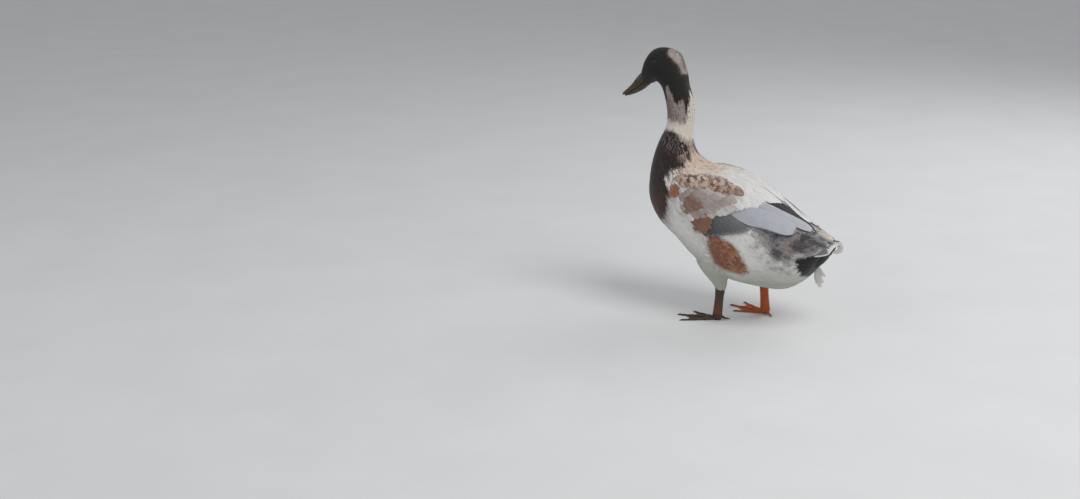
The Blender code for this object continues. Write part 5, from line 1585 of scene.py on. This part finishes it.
class DRAKE_OT_stage(DrakeOperator):
    """Pale floor, soft lights and the camera at the photograph's angle and framing."""

    bl_idname = "drake.stage"
    bl_label = "Stage"

    AIM = Vector((0.0, 3.0 * CM + ORIGIN_Y, 24 * CM))
    AIM_PIXEL = (735, 185)
    FRAME = (1080, 499)
    SENSOR = 36.0

    def make(self, tones):
        self.floor()
        self.camera(bpy.context.scene.drake_sizes)
        self.light("key", (0.6, 1.6, 2.4), 1.6, 34)
        self.light("fill", (2.2, -1.6, 1.5), 2.0, 8)
        self.light("rim", (-1.8, 0.6, 1.6), 1.5, 12)
        world = bpy.context.scene.world or bpy.data.worlds.new("studio")
        bpy.context.scene.world = world
        world.use_nodes = True
        back = world.node_tree.nodes["Background"]
        back.inputs["Color"].default_value = (0.94, 0.96, 1.0, 1)
        back.inputs["Strength"].default_value = 0.4
        bpy.context.scene.view_settings.view_transform = "Standard"

    def floor(self):
        half = 14.0
        points = np.array([(-half, -half, 0), (half, -half, 0), (half, half, 0), (-half, half, 0)])
        mesh = bpy.data.meshes.new("floor")
        mesh.from_pydata(points.tolist(), [], [(0, 1, 2, 3)])
        floor = bpy.data.objects.new("floor", mesh)
        bpy.context.scene.collection.objects.link(floor)
        mesh.materials.append(two_tone("floor_finish", 0.85, 6.0, 3.0, (0.77, 0.77, 0.765), (0.8, 0.8, 0.795)))

    def light(self, name, place, size, power):
        data = bpy.data.lights.new(name, "AREA")
        data.shape, data.size, data.energy = "DISK", size, power
        lamp = bpy.data.objects.new(name, data)
        lamp.location = place
        lamp.rotation_euler = (self.AIM - Vector(place)).to_track_quat("-Z", "Y").to_euler()
        bpy.context.scene.collection.objects.link(lamp)

    def camera(self, sizes):
        """The camera stands on the view's direction from the aim point, and is turned until that point falls on
        its place in the frame."""
        data = bpy.data.cameras.new("camera")
        data.sensor_width, data.lens = self.SENSOR, sizes.lens
        focal = sizes.lens / self.SENSOR * self.FRAME[0]
        away = Vector((math.sin(sizes.azimuth) * math.cos(sizes.elevation),
                       -math.cos(sizes.azimuth) * math.cos(sizes.elevation), math.sin(sizes.elevation)))
        right_of = (self.AIM_PIXEL[0] - self.FRAME[0] / 2) / focal
        above = (self.FRAME[1] / 2 - self.AIM_PIXEL[1]) / focal
        wanted = Vector((right_of, above, -1)).normalized()
        yaw, pitch = math.atan2(-away.y, -away.x), -sizes.elevation
        for _ in range(50):
            turn = self.turn(yaw, pitch)
            seen = turn @ wanted
            yaw += math.atan2(-away.y, -away.x) - math.atan2(seen.y, seen.x)
            pitch += -sizes.elevation - math.asin(seen.z)
        turn = self.turn(yaw, pitch)
        reach = sizes.distance * Vector((right_of, above, -1)).length
        camera = bpy.data.objects.new("camera", data)
        camera.matrix_world = Matrix.Translation(self.AIM - (turn @ wanted) * reach) @ turn.to_4x4()
        bpy.context.scene.collection.objects.link(camera)
        bpy.context.scene.camera = camera

    def turn(self, yaw, pitch):
        """The rotation of a level camera that looks along yaw and pitch."""
        forward = Vector((math.cos(pitch) * math.cos(yaw), math.cos(pitch) * math.sin(yaw), math.sin(pitch)))
        right = forward.cross(Vector((0, 0, 1))).normalized()
        up = right.cross(forward)
        return Matrix((right, up, -forward)).transposed()


STEPS = [DRAKE_OT_stage, DRAKE_OT_skin, DRAKE_OT_coat, DRAKE_OT_wings, DRAKE_OT_tail, DRAKE_OT_eyes, DRAKE_OT_bill,
         DRAKE_OT_legs]


class DRAKE_PT_panel(bpy.types.Panel):
    """Lists the steps and the values that they read."""

    bl_label = "Drake"
    bl_idname = "DRAKE_PT_panel"
    bl_space_type = "VIEW_3D"
    bl_region_type = "UI"
    bl_category = "Drake"

    def draw(self, context):
        for group in (context.scene.drake_sizes, context.scene.drake_tones):
            box = self.layout.box()
            for key in group.__annotations__:
                box.prop(group, key)
        for step in STEPS:
            self.layout.operator(step.bl_idname)


CLASSES = [DrakeTones, DrakeSizes, *STEPS, DRAKE_PT_panel]


def register():
    for cls in CLASSES:
        bpy.utils.register_class(cls)
    bpy.types.Scene.drake_tones = bpy.props.PointerProperty(type=DrakeTones)
    bpy.types.Scene.drake_sizes = bpy.props.PointerProperty(type=DrakeSizes)


def unregister():
    del bpy.types.Scene.drake_tones
    del bpy.types.Scene.drake_sizes
    for cls in reversed(CLASSES):
        bpy.utils.unregister_class(cls)


def main():
    register()
    for step in STEPS:
        group, name = step.bl_idname.split(".")
        getattr(getattr(bpy.ops, group), name)()


if __name__ == "__main__":
    main()
